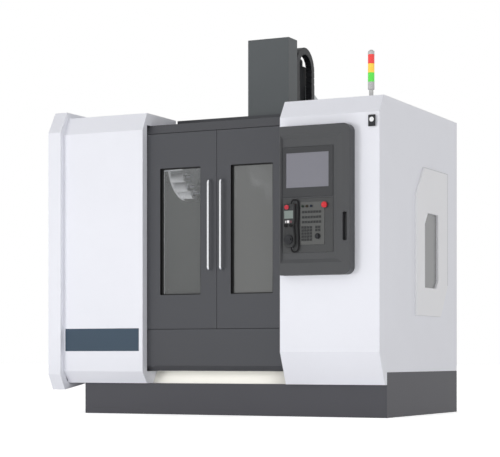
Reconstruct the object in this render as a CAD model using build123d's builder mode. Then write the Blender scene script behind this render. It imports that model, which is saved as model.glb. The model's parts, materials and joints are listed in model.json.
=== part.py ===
import os
from math import cos, radians, sin, tan

from build123d import *

os.makedirs("parts", exist_ok=True)

# Vertical machining center in a full enclosure: X to the right, Y to the back, Z up, millimetres.
# The origin is on the floor, under the middle of the whole machine.

# Driving dimensions of the base and the enclosure
fit = 0.3
sheet = 3
enclosure_right = 1260
base_width = 2304
base_depth = 1400
base_height = 299
base_front_height = 216
base_front_y = -1040
base_wall = 5
ledge_depth = 100
side_lip = 40
column_front_y = -1170
column_foot_depth = 94
column_foot_height = 215.7
column_brow_depth = 78
column_brow_height = 117
panel_front_y = -1125
panel_foot_depth = 64
panel_foot_height = 82.7
panel_brow_depth = 63
panel_brow_height = 125
door_front_y = -1060
flange_left = -1272
flange_width = 102
flange_lip = 55
flange_foot_z = 275
flange_foot_depth = 59
flange_foot_height = 108
flange_sole_length = 270
flange_sole_rise = 39
flange_heel_length = 61
flange_brow_depth = 92
flange_brow_height = 153
enclosure_top = 2106
flange_top = 2148
roof_rear_y = -640
return_flange = 40

# Doors, header and apron
panel_right = -526
column_left = 549
door_seam_x = 20
door_gap = 2
door_bottom = 594
door_top = 1954
door_thickness = 22
door_overlap = 34
window_width = 318
window_bottom = 830
window_height = 881
window_corner = 8
left_window_inset = 124
right_window_inset = 108
glass_thickness = 6
glass_overlap = 15
handle_offset = 47
handle_diameter = 17
handle_bottom = 992
handle_height = 625
handle_reach = 38
header_bottom = 1957
header_height = 64
header_slope = 44
apron_top = 591
apron_bottom = 303
apron_slope_height = 37
sill_y = -1018
sill_top = 720
track_width = 30
track_depth = 40
hanger_width = track_width - 2 * sheet - 2 * fit

# Chip pan
pan_foot_y = -970
pan_step_y = -919
pan_step_z = apron_bottom - 3
pan_shelf_z = 560
pan_lip_top = 600
pan_side_top = 700
pan_side_knee = 640

# Bed, column and axes
spindle_x = 108
spindle_y = -270
pad_height = 45
bed_width = 840
bed_front_y = -760
bed_rear_y = 850
bed_deck = 540
rail_seat = 600
column_front = 290
column_foot = 620
column_top = 1960
column_width = 540
rail_width = 45
rail_height = 40
y_rail_half_gauge = 300
z_rail_half_gauge = 190
z_travel = 500
screw_radius = 20
screw_clearance = 0.05
y_screw_z = 590
z_screw_y = 262
saddle_bottom = 652
saddle_top = 760
saddle_length = 1200
saddle_depth = 520
x_rail_half_gauge = 170
x_rail_width = 35
x_rail_height = 35
x_screw_radius = 16
x_screw_z = 765
table_length = 1000
table_bottom = 835
table_top = 895
slot_pitch = 100
slot_count = 5
slot_land = 50
slot_width = 18
slot_neck = 18
slot_foot_width = 30
slot_foot_height = 14
table_depth = (slot_count - 1) * slot_pitch + 2 * slot_land

# Head, spindle and cable chain
nose_z = 1515
head_slide_bottom = 1480
head_slide_height = 400
head_slide_half_width = 215
head_top = 2080
head_front_y = -400
cover_front_y = -420
cover_depth = 147
cover_width = 322
cover_bottom = 1950
cover_top = 2683
motor_side = 190
motor_y = -40
spindle_motor_height = 520
quill_radius = 45
taper_radius = 22.2
chain_width = 46
chain_left_x = 216
chain_front_y = -266
chain_rear_y = 50
chain_thickness = 50
chain_centre_z = 2500
chain_pitch = 42

# Tool changer
arm_reach = 360
arm_thickness = 60
arm_gap = 15
pot_count = 18
pot_circle_radius = 250
pot_radius = 37
pot_length = 95
pot_tail = 20
pot_bore_radius = 23
disc_thickness = 16

# Operator console
console_left = 580.5
console_width = 505.5
console_bottom = 937
console_height = 980
console_depth = 79.5
console_corner = 50
console_hinge_x = 573
console_hinge_y = -1178
recess_depth = 16

# Electrical cabinet
cabinet_width = 800
cabinet_depth = 422
cabinet_bottom = 420
cabinet_height = 1480
cabinet_door_thickness = 25

base_middle_x = enclosure_right - base_width / 2
base_rear_y = base_front_y + base_depth
flange_right = flange_left + flange_width
wall_bottom = base_height + fit
panel_bottom = base_front_height + fit
wall_inner_x = enclosure_right - sheet


def facing(y):
    """Upright plane across the machine at depth y, seen by the operator; positive extrusion comes forward."""
    return Plane.XZ.offset(-y)


def side_on(x):
    """Upright plane along the machine at x; its own axes are Y and Z, and positive extrusion goes right."""
    return Plane.YZ.offset(x)


def level(z):
    """Level plane at height z; positive extrusion goes up."""
    return Plane.XY.offset(z)


# Cast bed with its rail ways, column seat, levelling lugs and cored side pockets
lug_reach = 70
lug_width = 120
lug_height = 40
lug_spacing_y = 740
pocket_depth = 30
pocket_height = 300
bed_middle_y = (bed_front_y + bed_rear_y) / 2
bearing_length = 50
bearing_width = 120
bearing_radius = 45
y_bearing_front_y = bed_front_y
y_bearing_rear_y = column_front - 110
with BuildPart() as bed_casting:
    with BuildSketch(level(pad_height)):
        with Locations((spindle_x, bed_middle_y)):
            Rectangle(bed_width, bed_rear_y - bed_front_y)
    extrude(amount=bed_deck - pad_height)
    fillet(bed_casting.edges().filter_by(Axis.Z), 25)
    with BuildSketch(level(pad_height)):
        with Locations((spindle_x, bed_middle_y)):
            with GridLocations(bed_width, lug_spacing_y, 2, 3):
                Rectangle(2 * lug_reach, lug_width)
    extrude(amount=lug_height)
    with BuildSketch(level(bed_deck)):
        with Locations((spindle_x, (bed_front_y + column_front) / 2)):
            with GridLocations(2 * y_rail_half_gauge, 0, 2, 1):
                Rectangle(120, column_front - bed_front_y)
    extrude(amount=rail_seat - bed_deck)
    with BuildSketch(level(bed_deck)):
        with Locations((spindle_x, (column_front + bed_rear_y) / 2)):
            Rectangle(column_width + 160, bed_rear_y - column_front)
    extrude(amount=column_foot - bed_deck)
    for side in (-1, 1):
        face_x = spindle_x + side * (bed_width / 2 - pocket_depth)
        with BuildSketch(side_on(face_x)):
            with Locations((bed_middle_y, (pad_height + bed_deck) / 2 + 20)):
                with GridLocations(370, 0, 4, 1):
                    RectangleRounded(280, pocket_height, 40)
        extrude(amount=side * pocket_depth, mode=Mode.SUBTRACT)
    for start_y in (y_bearing_front_y, y_bearing_rear_y):
        with BuildSketch(facing(start_y + bearing_length)):
            with Locations((spindle_x, (bed_deck + y_screw_z) / 2)):
                Rectangle(bearing_width, y_screw_z - bed_deck)
            with Locations((spindle_x, y_screw_z)):
                Circle(bearing_radius)
                Circle(screw_radius + screw_clearance, mode=Mode.SUBTRACT)
        extrude(amount=bearing_length)
bed_casting.part.label = "bed_casting"
export_step(bed_casting.part, "parts/bed_casting.step")

# Six round levelling pads under the bed's lugs
pad_offset = bed_width / 2 + lug_reach / 2
pad_radius = 58
pad_thickness = 18
pad_bolt_radius = 30
with BuildPart() as levelling_pads:
    with BuildSketch(level(0)):
        with Locations((spindle_x, bed_middle_y)):
            with GridLocations(2 * pad_offset, lug_spacing_y, 2, 3):
                Circle(pad_radius)
    extrude(amount=pad_thickness)
    with BuildSketch(level(pad_thickness)):
        with Locations((spindle_x, bed_middle_y)):
            with GridLocations(2 * pad_offset, lug_spacing_y, 2, 3):
                Circle(pad_bolt_radius)
    extrude(amount=pad_height - pad_thickness)
levelling_pads.part.label = "levelling_pads"
export_step(levelling_pads.part, "parts/levelling_pads.step")

# Dark plinth round the bed: low front with a ledge, higher sides, rear open for the bed
with BuildPart() as base_skirt:
    with BuildSketch(level(0)):
        with Locations((base_middle_x, base_front_y + base_depth / 2)):
            Rectangle(base_width, base_depth)
            Rectangle(base_width - 2 * base_wall, base_depth - 2 * base_wall, mode=Mode.SUBTRACT)
    extrude(amount=base_height)
    with BuildSketch(level(base_height - base_wall)):
        with Locations((base_middle_x, base_front_y + base_depth / 2)):
            Rectangle(base_width, base_depth)
            Rectangle(base_width - 2 * side_lip, base_depth - 2 * side_lip, mode=Mode.SUBTRACT)
    extrude(amount=base_wall)
    with BuildSketch(level(base_front_height)):
        with Locations((base_middle_x, base_front_y)):
            Rectangle(base_width - 2 * base_wall, 2 * side_lip)
    extrude(amount=base_height - base_front_height, mode=Mode.SUBTRACT)
    with BuildSketch(level(base_front_height - base_wall)):
        with Locations((base_middle_x, base_front_y + ledge_depth / 2)):
            Rectangle(base_width, ledge_depth)
    extrude(amount=base_wall)
    with BuildSketch(level(0)):
        with Locations((spindle_x, base_rear_y)):
            Rectangle(bed_width + 40, 2 * side_lip)
    extrude(amount=base_height, mode=Mode.SUBTRACT)
base_skirt.part.label = "base_skirt"
export_step(base_skirt.part, "parts/base_skirt.step")

# Cast column, flared at its foot, with screw bearings and the motor seat on top
flare_width = 60
flare_top = 1300
z_bearing_bottom = 900
z_bearing_height = 60
z_bearing_top_z = 1905
z_bearing_front_y = 240
z_bearing_width = 110
seat_width = 190
seat_height = 30
seat_front_y = 165
seat_rear_y = 480
shelf_z = 900
shelf_thickness = 5
bellows_front_y = 196
bellows_back_y = 236
bellows_width = 480
with BuildPart() as column_casting:
    with BuildSketch(facing(bed_rear_y)):
        with BuildLine():
            Polyline(
                (spindle_x - column_width / 2 - flare_width, column_foot),
                (spindle_x - column_width / 2 - flare_width, column_foot + 140),
                (spindle_x - column_width / 2, flare_top),
                (spindle_x - column_width / 2, column_top),
                (spindle_x + column_width / 2, column_top),
                (spindle_x + column_width / 2, flare_top),
                (spindle_x + column_width / 2 + flare_width, column_foot + 140),
                (spindle_x + column_width / 2 + flare_width, column_foot),
                close=True,
            )
        make_face()
    extrude(amount=bed_rear_y - column_front)
    for start_z in (z_bearing_bottom, z_bearing_top_z):
        with BuildSketch(level(start_z)):
            with Locations((spindle_x, (z_bearing_front_y + column_front) / 2)):
                Rectangle(z_bearing_width, column_front - z_bearing_front_y)
            with Locations((spindle_x, z_screw_y)):
                Circle(screw_radius + screw_clearance, mode=Mode.SUBTRACT)
        extrude(amount=z_bearing_height if start_z == z_bearing_bottom else column_top - start_z)
    with BuildSketch(level(column_top)):
        with Locations((spindle_x, (seat_front_y + seat_rear_y) / 2)):
            Rectangle(seat_width, seat_rear_y - seat_front_y)
        with Locations((spindle_x, z_screw_y)):
            Circle(screw_radius + screw_clearance, mode=Mode.SUBTRACT)
    extrude(amount=seat_height)
    with BuildSketch(level(shelf_z)):
        with Locations((spindle_x, (bellows_front_y + column_front) / 2)):
            Rectangle(bellows_width, column_front - bellows_front_y)
        with Locations((spindle_x, z_screw_y)):
            Circle(screw_radius + screw_clearance, mode=Mode.SUBTRACT)
    extrude(amount=shelf_thickness)
column_casting.part.label = "column_casting"
export_step(column_casting.part, "parts/column_casting.step")

# Four ground guide rails: two along the bed, two up the column
y_rail_front_y = bed_front_y + 5
y_rail_rear_y = column_front - 50
z_rail_bottom = 970
z_rail_top = 1945
rail_waist = 6
with BuildPart() as linear_rails:
    with BuildSketch(facing(y_rail_rear_y)):
        with Locations((spindle_x, rail_seat + rail_height / 2)):
            with GridLocations(2 * y_rail_half_gauge, 0, 2, 1):
                Rectangle(rail_width, rail_height)
        with Locations((spindle_x, rail_seat + rail_height * 0.55)):
            for rail_x in (-y_rail_half_gauge, y_rail_half_gauge):
                with Locations((rail_x - rail_width / 2, 0), (rail_x + rail_width / 2, 0)):
                    Rectangle(2 * rail_waist, rail_height / 4, mode=Mode.SUBTRACT)
    extrude(amount=y_rail_rear_y - y_rail_front_y)
    with BuildSketch(level(z_rail_bottom)):
        with Locations((spindle_x, column_front - rail_height / 2)):
            with GridLocations(2 * z_rail_half_gauge, 0, 2, 1):
                Rectangle(rail_width, rail_height)
        with Locations((spindle_x, column_front - rail_height * 0.55)):
            for rail_x in (-z_rail_half_gauge, z_rail_half_gauge):
                with Locations((rail_x - rail_width / 2, 0), (rail_x + rail_width / 2, 0)):
                    Rectangle(2 * rail_waist, rail_height / 4, mode=Mode.SUBTRACT)
    extrude(amount=z_rail_top - z_rail_bottom)
linear_rails.part.label = "linear_rails"
export_step(linear_rails.part, "parts/linear_rails.step")

# Servo motors of the Y and Z axes, each a square body with a round encoder cap
servo_side = 180
y_motor_side = 118
y_motor_length = 110
servo_length = 250
cap_radius = 62
cap_length = 45
y_motor_front_y = bed_front_y - fit
z_motor_bottom = column_top + seat_height + fit
with BuildPart() as axis_servo_motors:
    with BuildSketch(level(z_motor_bottom)):
        with Locations((spindle_x, z_screw_y)):
            RectangleRounded(servo_side, servo_side, 18)
    extrude(amount=servo_length)
    with BuildSketch(level(z_motor_bottom + servo_length)):
        with Locations((spindle_x, z_screw_y)):
            Circle(cap_radius)
    extrude(amount=cap_length)
    with BuildSketch(facing(y_motor_front_y)):
        with Locations((spindle_x, y_screw_z)):
            RectangleRounded(y_motor_side, y_motor_side, 14)
    extrude(amount=y_motor_length)
    with BuildSketch(facing(y_motor_front_y - y_motor_length)):
        with Locations((spindle_x, y_screw_z)):
            Circle(cap_radius * 0.8)
    extrude(amount=cap_length)
axis_servo_motors.part.label = "axis_servo_motors"
export_step(axis_servo_motors.part, "parts/axis_servo_motors.step")

# Left side wall: a deep folded pan whose front edge stands proud as a flange
sole_z = flange_foot_z - flange_foot_height
sole_front_y = column_front_y + flange_foot_depth
sole_rear_y = sole_front_y + flange_sole_length
with BuildPart() as left_side_wall:
    with BuildSketch(side_on(flange_left)) as flange_profile:
        with BuildLine():
            Polyline(
                (column_front_y, flange_foot_z),
                (sole_front_y, sole_z),
                (sole_rear_y, sole_z + flange_sole_rise),
                (sole_rear_y + flange_heel_length, wall_bottom),
                (base_rear_y, wall_bottom),
                (base_rear_y, flange_top),
                (column_front_y + flange_brow_depth, flange_top),
                (column_front_y, flange_top - flange_brow_height),
                close=True,
            )
        make_face()
    extrude(amount=flange_width)
    offset(amount=-sheet, openings=left_side_wall.faces().sort_by(Axis.X)[-1])
    with BuildSketch(side_on(flange_right - sheet)):
        add(flange_profile.sketch_local)
        offset(amount=-flange_lip, kind=Kind.INTERSECTION, mode=Mode.SUBTRACT)
    extrude(amount=sheet)
left_side_wall.part.label = "left_side_wall"
export_step(left_side_wall.part, "parts/left_side_wall.step")

# Left front panel: front sheet with sloped ends, roof, and a cheek beside the doors
panel_left = flange_right + fit
cheek_gap = 3
cheek_rear_y = door_front_y - cheek_gap
pan_gap = 2
header_top = header_bottom + header_height
panel_knee_z = panel_bottom + panel_foot_height
panel_brow_z = enclosure_top - panel_brow_height
with BuildPart() as left_front_panel:
    with BuildSketch(side_on(panel_left)):
        with BuildLine():
            Polyline(
                (base_front_y - fit, panel_bottom),
                (panel_front_y + panel_foot_depth, panel_bottom),
                (panel_front_y, panel_knee_z),
                (panel_front_y, panel_brow_z),
                (panel_front_y + panel_brow_depth, enclosure_top),
                (roof_rear_y, enclosure_top),
                (roof_rear_y, enclosure_top - return_flange),
            )
            offset(amount=sheet, side=Side.RIGHT, kind=Kind.INTERSECTION)
        make_face()
    extrude(amount=panel_right - panel_left)
    with BuildSketch(side_on(panel_right - sheet)):
        with BuildLine():
            Polyline(
                (pan_step_y - pan_gap, pan_step_z),
                (pan_foot_y - pan_gap, panel_bottom),
                (panel_front_y + panel_foot_depth, panel_bottom),
                (panel_front_y, panel_knee_z),
                (panel_front_y, panel_brow_z),
                (panel_front_y + panel_brow_depth, enclosure_top),
                (roof_rear_y, enclosure_top),
                (roof_rear_y, header_top + fit),
                (cheek_rear_y, header_top + fit),
                (cheek_rear_y, pan_step_z),
                close=True,
            )
        make_face()
    extrude(amount=sheet)
left_front_panel.part.label = "left_front_panel"
export_step(left_front_panel.part, "parts/left_front_panel.step")

# Right front panel, which carries the console, with two hinge barrels for it
panel_end = wall_inner_x - fit
barrel_radius = 7
barrel_height = 40
barrel_levels = (1010, 1800)
column_knee_z = panel_bottom + column_foot_height
column_brow_z = enclosure_top - column_brow_height
with BuildPart() as right_front_panel:
    with BuildSketch(side_on(column_left)):
        with BuildLine():
            Polyline(
                (base_front_y - fit, panel_bottom),
                (column_front_y + column_foot_depth, panel_bottom),
                (column_front_y, column_knee_z),
                (column_front_y, column_brow_z),
                (column_front_y + column_brow_depth, enclosure_top),
                (roof_rear_y, enclosure_top),
                (roof_rear_y, enclosure_top - return_flange),
            )
            offset(amount=sheet, side=Side.RIGHT, kind=Kind.INTERSECTION)
        make_face()
    extrude(amount=panel_end - column_left)
    with BuildSketch(side_on(column_left)):
        with BuildLine():
            Polyline(
                (pan_step_y - pan_gap, pan_step_z),
                (pan_foot_y - pan_gap, panel_bottom),
                (column_front_y + column_foot_depth, panel_bottom),
                (column_front_y, column_knee_z),
                (column_front_y, column_brow_z),
                (column_front_y + column_brow_depth, enclosure_top),
                (roof_rear_y, enclosure_top),
                (roof_rear_y, header_top + fit),
                (cheek_rear_y, header_top + fit),
                (cheek_rear_y, pan_step_z),
                close=True,
            )
        make_face()
    extrude(amount=sheet)
    for barrel_z in barrel_levels:
        with BuildSketch(level(barrel_z)):
            with Locations((console_hinge_x, console_hinge_y)):
                Circle(barrel_radius)
            with Locations((console_hinge_x, (console_hinge_y + column_front_y) / 2)):
                Rectangle(6, column_front_y - console_hinge_y)
        extrude(amount=barrel_height)
right_front_panel.part.label = "right_front_panel"
export_step(right_front_panel.part, "parts/right_front_panel.step")



def cut_corner_outline(front, rear, bottom, top, front_cut, rear_cut):
    """Side outline with its upper front and lower rear corners cut off; each cut is a depth and a height."""
    return [
        (front, bottom),
        (front, top - front_cut[1]),
        (front + front_cut[0], top),
        (rear, top),
        (rear, bottom + rear_cut[1]),
        (rear - rear_cut[0], bottom),
    ]


# Right side wall with folded edges and the side window's opening
side_window_front = -350
side_window_rear = -76
side_window_bottom = 879
side_window_top = 1397
side_window_front_cut = (60, 78)
side_window_rear_cut = (47, 55)
window_points = cut_corner_outline(
    side_window_front, side_window_rear, side_window_bottom, side_window_top,
    side_window_front_cut, side_window_rear_cut,
)
with BuildPart() as right_side_wall:
    with BuildSketch(side_on(wall_inner_x)):
        with BuildLine():
            Polyline(
                (base_front_y - fit, wall_bottom),
                (base_front_y - fit, panel_bottom),
                (column_front_y + column_foot_depth, panel_bottom),
                (column_front_y, column_knee_z),
                (column_front_y, column_brow_z),
                (column_front_y + column_brow_depth, enclosure_top),
                (base_rear_y, enclosure_top),
                (base_rear_y, wall_bottom),
                close=True,
            )
        make_face()
        with BuildLine():
            Polyline(*window_points, close=True)
        make_face(mode=Mode.SUBTRACT)
    extrude(amount=sheet)
    with BuildSketch(side_on(enclosure_right - side_lip)):
        with Locations(((roof_rear_y + base_rear_y) / 2 + fit, enclosure_top - sheet / 2)):
            Rectangle(base_rear_y - roof_rear_y - 2 * fit, sheet)
        with Locations(((pan_step_y + base_rear_y) / 2 + side_lip / 2, wall_bottom + sheet / 2)):
            Rectangle(base_rear_y - pan_step_y - side_lip, sheet)
        with Locations((base_rear_y - sheet / 2, (wall_bottom + enclosure_top) / 2)):
            Rectangle(sheet, enclosure_top - wall_bottom)
    extrude(amount=side_lip)
right_side_wall.part.label = "right_side_wall"
export_step(right_side_wall.part, "parts/right_side_wall.step")

# Raised frame round the side window, and its pane behind the wall
frame_proud = 12
pane_overlap = 12
frame_margins = (168, 207, 196, 313)
frame_front_cut = (156, 193)
frame_rear_cut = (147, 226)
frame_points = cut_corner_outline(
    side_window_front - frame_margins[0], side_window_rear + frame_margins[1],
    side_window_bottom - frame_margins[2], side_window_top + frame_margins[3],
    frame_front_cut, frame_rear_cut,
)
with BuildPart() as side_window_frame:
    with BuildSketch(side_on(enclosure_right)):
        with BuildLine():
            Polyline(*frame_points, close=True)
        make_face()
        with BuildLine():
            Polyline(*window_points, close=True)
        make_face(mode=Mode.SUBTRACT)
    extrude(amount=frame_proud)
    outline = side_window_frame.faces().sort_by(Axis.X)[-1].outer_wire().edges()
    chamfer(outline, 4)
side_window_frame.part.label = "side_window_frame"
export_step(side_window_frame.part, "parts/side_window_frame.step")

with BuildPart() as side_window_glass:
    with BuildSketch(side_on(wall_inner_x - glass_thickness)):
        with BuildLine():
            Polyline(*window_points, close=True)
        make_face()
        offset(amount=pane_overlap, kind=Kind.INTERSECTION)
    extrude(amount=glass_thickness)
side_window_glass.part.label = "side_window_glass"
export_step(side_window_glass.part, "parts/side_window_glass.step")

# Dark header over the doors: sloped front edge, low roof, a raised rear strip and the doors' track
header_left = flange_right + 6
header_right = panel_end - 40
strip_y = -617
strip_depth = 40
header_return = 56
track_y = door_front_y + door_thickness + 4 + track_width / 2
with BuildPart() as door_header:
    with BuildSketch(side_on(header_left)):
        with BuildLine():
            Polyline(
                (door_front_y + header_return, header_bottom),
                (door_front_y, header_bottom),
                (door_front_y + header_slope, header_top),
                (strip_y, header_top),
            )
            offset(amount=sheet, side=Side.RIGHT, kind=Kind.INTERSECTION)
        make_face()
    extrude(amount=header_right - header_left)
    with BuildSketch(side_on(panel_right + fit)):
        with BuildLine():
            Polyline(
                (strip_y - 20, header_top),
                (strip_y, header_top),
                (strip_y, enclosure_top),
                (strip_y + strip_depth, enclosure_top),
            )
            offset(amount=sheet, side=Side.RIGHT, kind=Kind.INTERSECTION)
        make_face()
    extrude(amount=column_left - panel_right - 2 * fit)
    with BuildSketch(side_on(header_left)):
        with Locations((track_y, header_bottom - track_depth / 2)):
            Rectangle(track_width, track_depth)
        with Locations((track_y, header_bottom - track_depth / 2 - sheet)):
            Rectangle(track_width - 2 * sheet, track_depth, mode=Mode.SUBTRACT)
    extrude(amount=header_right - header_left)
door_header.part.label = "door_header"
export_step(door_header.part, "parts/door_header.step")

# Front apron under the doors, folded into a sill that keeps the coolant in
with BuildPart() as front_apron:
    with BuildSketch(side_on(header_left)):
        with BuildLine():
            Polyline(
                (door_front_y + 100, apron_bottom),
                (door_front_y + header_slope, apron_bottom),
                (door_front_y, apron_bottom + apron_slope_height),
                (door_front_y, apron_top),
                (sill_y, apron_top),
                (sill_y, sill_top),
            )
            offset(amount=sheet, side=Side.RIGHT, kind=Kind.INTERSECTION)
        make_face()
    extrude(amount=header_right - header_left)
front_apron.part.label = "front_apron"
export_step(front_apron.part, "parts/front_apron.step")

# Chip pan: pale front skirt over the plinth's ledge, a shelf behind the apron and two sloping floors
pan_left = flange_right + 6
pan_right = wall_inner_x - glass_thickness - 4
pan_rear_y = base_rear_y - 15
pan_lip_y = sill_y + sheet + fit
with BuildPart() as chip_pan:
    with BuildSketch(side_on(pan_left)):
        with BuildLine():
            Polyline(
                (pan_foot_y + 20, panel_bottom),
                (pan_foot_y, panel_bottom),
                (pan_step_y, pan_step_z),
                (pan_step_y, pan_shelf_z),
                (pan_lip_y, pan_shelf_z),
                (pan_lip_y, pan_lip_top),
            )
            offset(amount=sheet, side=Side.RIGHT, kind=Kind.INTERSECTION)
        make_face()
    extrude(amount=pan_right - pan_left)
    with BuildSketch(level(panel_bottom)):
        with Locations((base_middle_x, pan_foot_y)):
            Rectangle(2 * base_width, 200)
            Rectangle(base_width - 2 * side_lip - 2 * fit, 200, mode=Mode.SUBTRACT)
    extrude(amount=wall_bottom - panel_bottom, mode=Mode.SUBTRACT)
    for side, outer_x in ((-1, pan_left), (1, pan_right)):
        inner_x = spindle_x + side * (bed_width / 2 + fit + sheet)
        with BuildSketch(facing(pan_rear_y)):
            with BuildLine():
                Polyline(
                    (outer_x, pan_side_top),
                    (outer_x, pan_side_knee),
                    (inner_x, pan_shelf_z),
                    (inner_x, pan_shelf_z - 30),
                )
                offset(amount=sheet, side=Side.LEFT if side < 0 else Side.RIGHT, kind=Kind.INTERSECTION)
            make_face()
        extrude(amount=pan_rear_y - pan_step_y - sheet)
chip_pan.part.label = "chip_pan"
export_step(chip_pan.part, "parts/chip_pan.step")

# Rear splash walls left and right of the column, each with a fold beside it
splash_y = pan_rear_y + fit
splash_top = 2000
splash_fold = 12
seat_half_width = column_width / 2 + 80
with BuildPart() as rear_splash_walls:
    for outer_x, side in ((pan_left, -1), (pan_right, 1)):
        inner_x = spindle_x + side * (column_width / 2 + flare_width + 4)
        with BuildSketch(level(pan_shelf_z)):
            with BuildLine():
                Polyline((outer_x, splash_y), (inner_x, splash_y), (inner_x, splash_y + splash_fold))
                offset(amount=sheet, side=Side.LEFT if side < 0 else Side.RIGHT, kind=Kind.INTERSECTION)
            make_face()
        extrude(amount=splash_top - pan_shelf_z)
    with BuildSketch(facing(splash_y + splash_fold)):
        with Locations((spindle_x, (pan_shelf_z + column_foot + fit) / 2)):
            Rectangle(2 * seat_half_width + 2 * fit, column_foot + fit - pan_shelf_z)
    extrude(amount=splash_fold, mode=Mode.SUBTRACT)
rear_splash_walls.part.label = "rear_splash_walls"
export_step(rear_splash_walls.part, "parts/rear_splash_walls.step")


def sliding_door(left_x, right_x, window_left):
    """One door leaf: a folded pan with its window cut-out and the hangers that run in the track."""
    with BuildPart() as leaf:
        with BuildSketch(facing(door_front_y + door_thickness)):
            with Locations(((left_x + right_x) / 2, (door_bottom + door_top) / 2)):
                Rectangle(right_x - left_x, door_top - door_bottom)
            with Locations((window_left + window_width / 2, window_bottom + window_height / 2)):
                RectangleRounded(window_width, window_height, window_corner, mode=Mode.SUBTRACT)
        extrude(amount=door_thickness)
        front_edges = leaf.faces().sort_by(Axis.Y)[0].outer_wire().edges()
        chamfer(front_edges, 1.5)
        hanger_bottom = header_bottom - track_depth - 24
        with BuildSketch(facing(track_y + hanger_width / 2)):
            with Locations(((left_x + right_x) / 2, hanger_bottom + 10)):
                with GridLocations(right_x - left_x - 160, 0, 2, 1):
                    Rectangle(60, 20)
        extrude(amount=hanger_width / 2 + track_y - door_front_y - door_thickness)
        with BuildSketch(facing(track_y + hanger_width / 2)):
            with Locations(((left_x + right_x) / 2, (hanger_bottom + header_bottom - sheet - 5) / 2)):
                with GridLocations(right_x - left_x - 160, 0, 2, 1):
                    Rectangle(60, header_bottom - sheet - 5 - hanger_bottom)
        extrude(amount=hanger_width)
    return leaf.part


def door_pane(window_left):
    """Safety glass behind a door's cut-out."""
    with BuildPart() as pane:
        with BuildSketch(facing(door_front_y + door_thickness + glass_thickness)):
            with Locations((window_left + window_width / 2, window_bottom + window_height / 2)):
                Rectangle(window_width + 2 * glass_overlap, window_height + 2 * glass_overlap)
        extrude(amount=glass_thickness)
    return pane.part


def door_handle(handle_x):
    """Round bar bent back to the door at both ends."""
    bar_y = door_front_y - handle_reach
    with BuildPart() as bar:
        with BuildLine() as path:
            FilletPolyline(
                (handle_x, door_front_y, handle_bottom + handle_diameter / 2),
                (handle_x, bar_y, handle_bottom + handle_diameter / 2),
                (handle_x, bar_y, handle_bottom + handle_height - handle_diameter / 2),
                (handle_x, door_front_y, handle_bottom + handle_height - handle_diameter / 2),
                radius=handle_diameter,
            )
        with BuildSketch(Plane(origin=path.line @ 0, z_dir=path.line % 0)):
            Circle(handle_diameter / 2)
        sweep(path=path.line)
    return bar.part


left_window_left = door_seam_x - left_window_inset - window_width
right_window_left = door_seam_x + right_window_inset

left_door = sliding_door(panel_right - door_overlap, door_seam_x - door_gap / 2, left_window_left)
left_door.label = "left_door"
export_step(left_door, "parts/left_door.step")

right_door = sliding_door(door_seam_x + door_gap / 2, column_left + door_overlap, right_window_left)
right_door.label = "right_door"
export_step(right_door, "parts/right_door.step")

left_window = door_pane(left_window_left)
left_window.label = "left_window"
export_step(left_window, "parts/left_window.step")

right_window = door_pane(right_window_left)
right_window.label = "right_window"
export_step(right_window, "parts/right_window.step")

left_handle = door_handle(door_seam_x - handle_offset)
left_handle.label = "left_handle"
export_step(left_handle, "parts/left_handle.step")

right_handle = door_handle(door_seam_x + handle_offset)
right_handle.label = "right_handle"
export_step(right_handle, "parts/right_handle.step")

# Saddle: cross slide on the bed's rails, with its trucks, Y nut, X screw groove and bearings
saddle_front_y = spindle_y - saddle_depth / 2
truck_length = 100
truck_width = 100
truck_bottom = rail_seat + 8
groove_width = 60
x_bearing_length = 45
x_bearing_outer = saddle_length / 2 - 20
with BuildPart() as saddle_casting:
    with BuildSketch(level(saddle_bottom)):
        with Locations((spindle_x, spindle_y)):
            Rectangle(saddle_length, saddle_depth)
    extrude(amount=saddle_top - saddle_bottom)
    fillet(saddle_casting.edges().filter_by(Axis.Z), 20)
    with BuildSketch(level(truck_bottom)):
        with Locations((spindle_x, spindle_y)):
            with GridLocations(2 * y_rail_half_gauge, saddle_depth - 160, 2, 2):
                Rectangle(truck_width, truck_length)
    extrude(amount=saddle_bottom - truck_bottom)
    with BuildSketch(level(truck_bottom)):
        with Locations((spindle_x, spindle_y)):
            with GridLocations(2 * y_rail_half_gauge, 0, 2, 1):
                Rectangle(rail_width + 2 * fit, saddle_depth)
    extrude(amount=rail_seat + rail_height + fit - truck_bottom, mode=Mode.SUBTRACT)
    with BuildSketch(facing(spindle_y + 50)):
        with Locations((spindle_x, (y_screw_z - 38 + saddle_bottom) / 2)):
            Rectangle(110, saddle_bottom - y_screw_z + 38)
        with Locations((spindle_x, y_screw_z)):
            Circle(screw_radius + screw_clearance, mode=Mode.SUBTRACT)
    extrude(amount=100)
    with BuildSketch(level(saddle_top - 25)):
        with Locations((spindle_x, spindle_y)):
            Rectangle(saddle_length, groove_width)
    extrude(amount=25, mode=Mode.SUBTRACT)
    for side in (-1, 1):
        start_x = spindle_x + side * x_bearing_outer - x_bearing_length * (side > 0)
        with BuildSketch(side_on(start_x)):
            with Locations((spindle_y, (saddle_top - 25 + x_screw_z + 30) / 2)):
                Rectangle(groove_width, x_screw_z + 30 - saddle_top + 25)
            with Locations((spindle_y, x_screw_z)):
                Circle(x_screw_radius + screw_clearance, mode=Mode.SUBTRACT)
        extrude(amount=x_bearing_length)
saddle_casting.part.label = "saddle_casting"
export_step(saddle_casting.part, "parts/saddle_casting.step")

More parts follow.
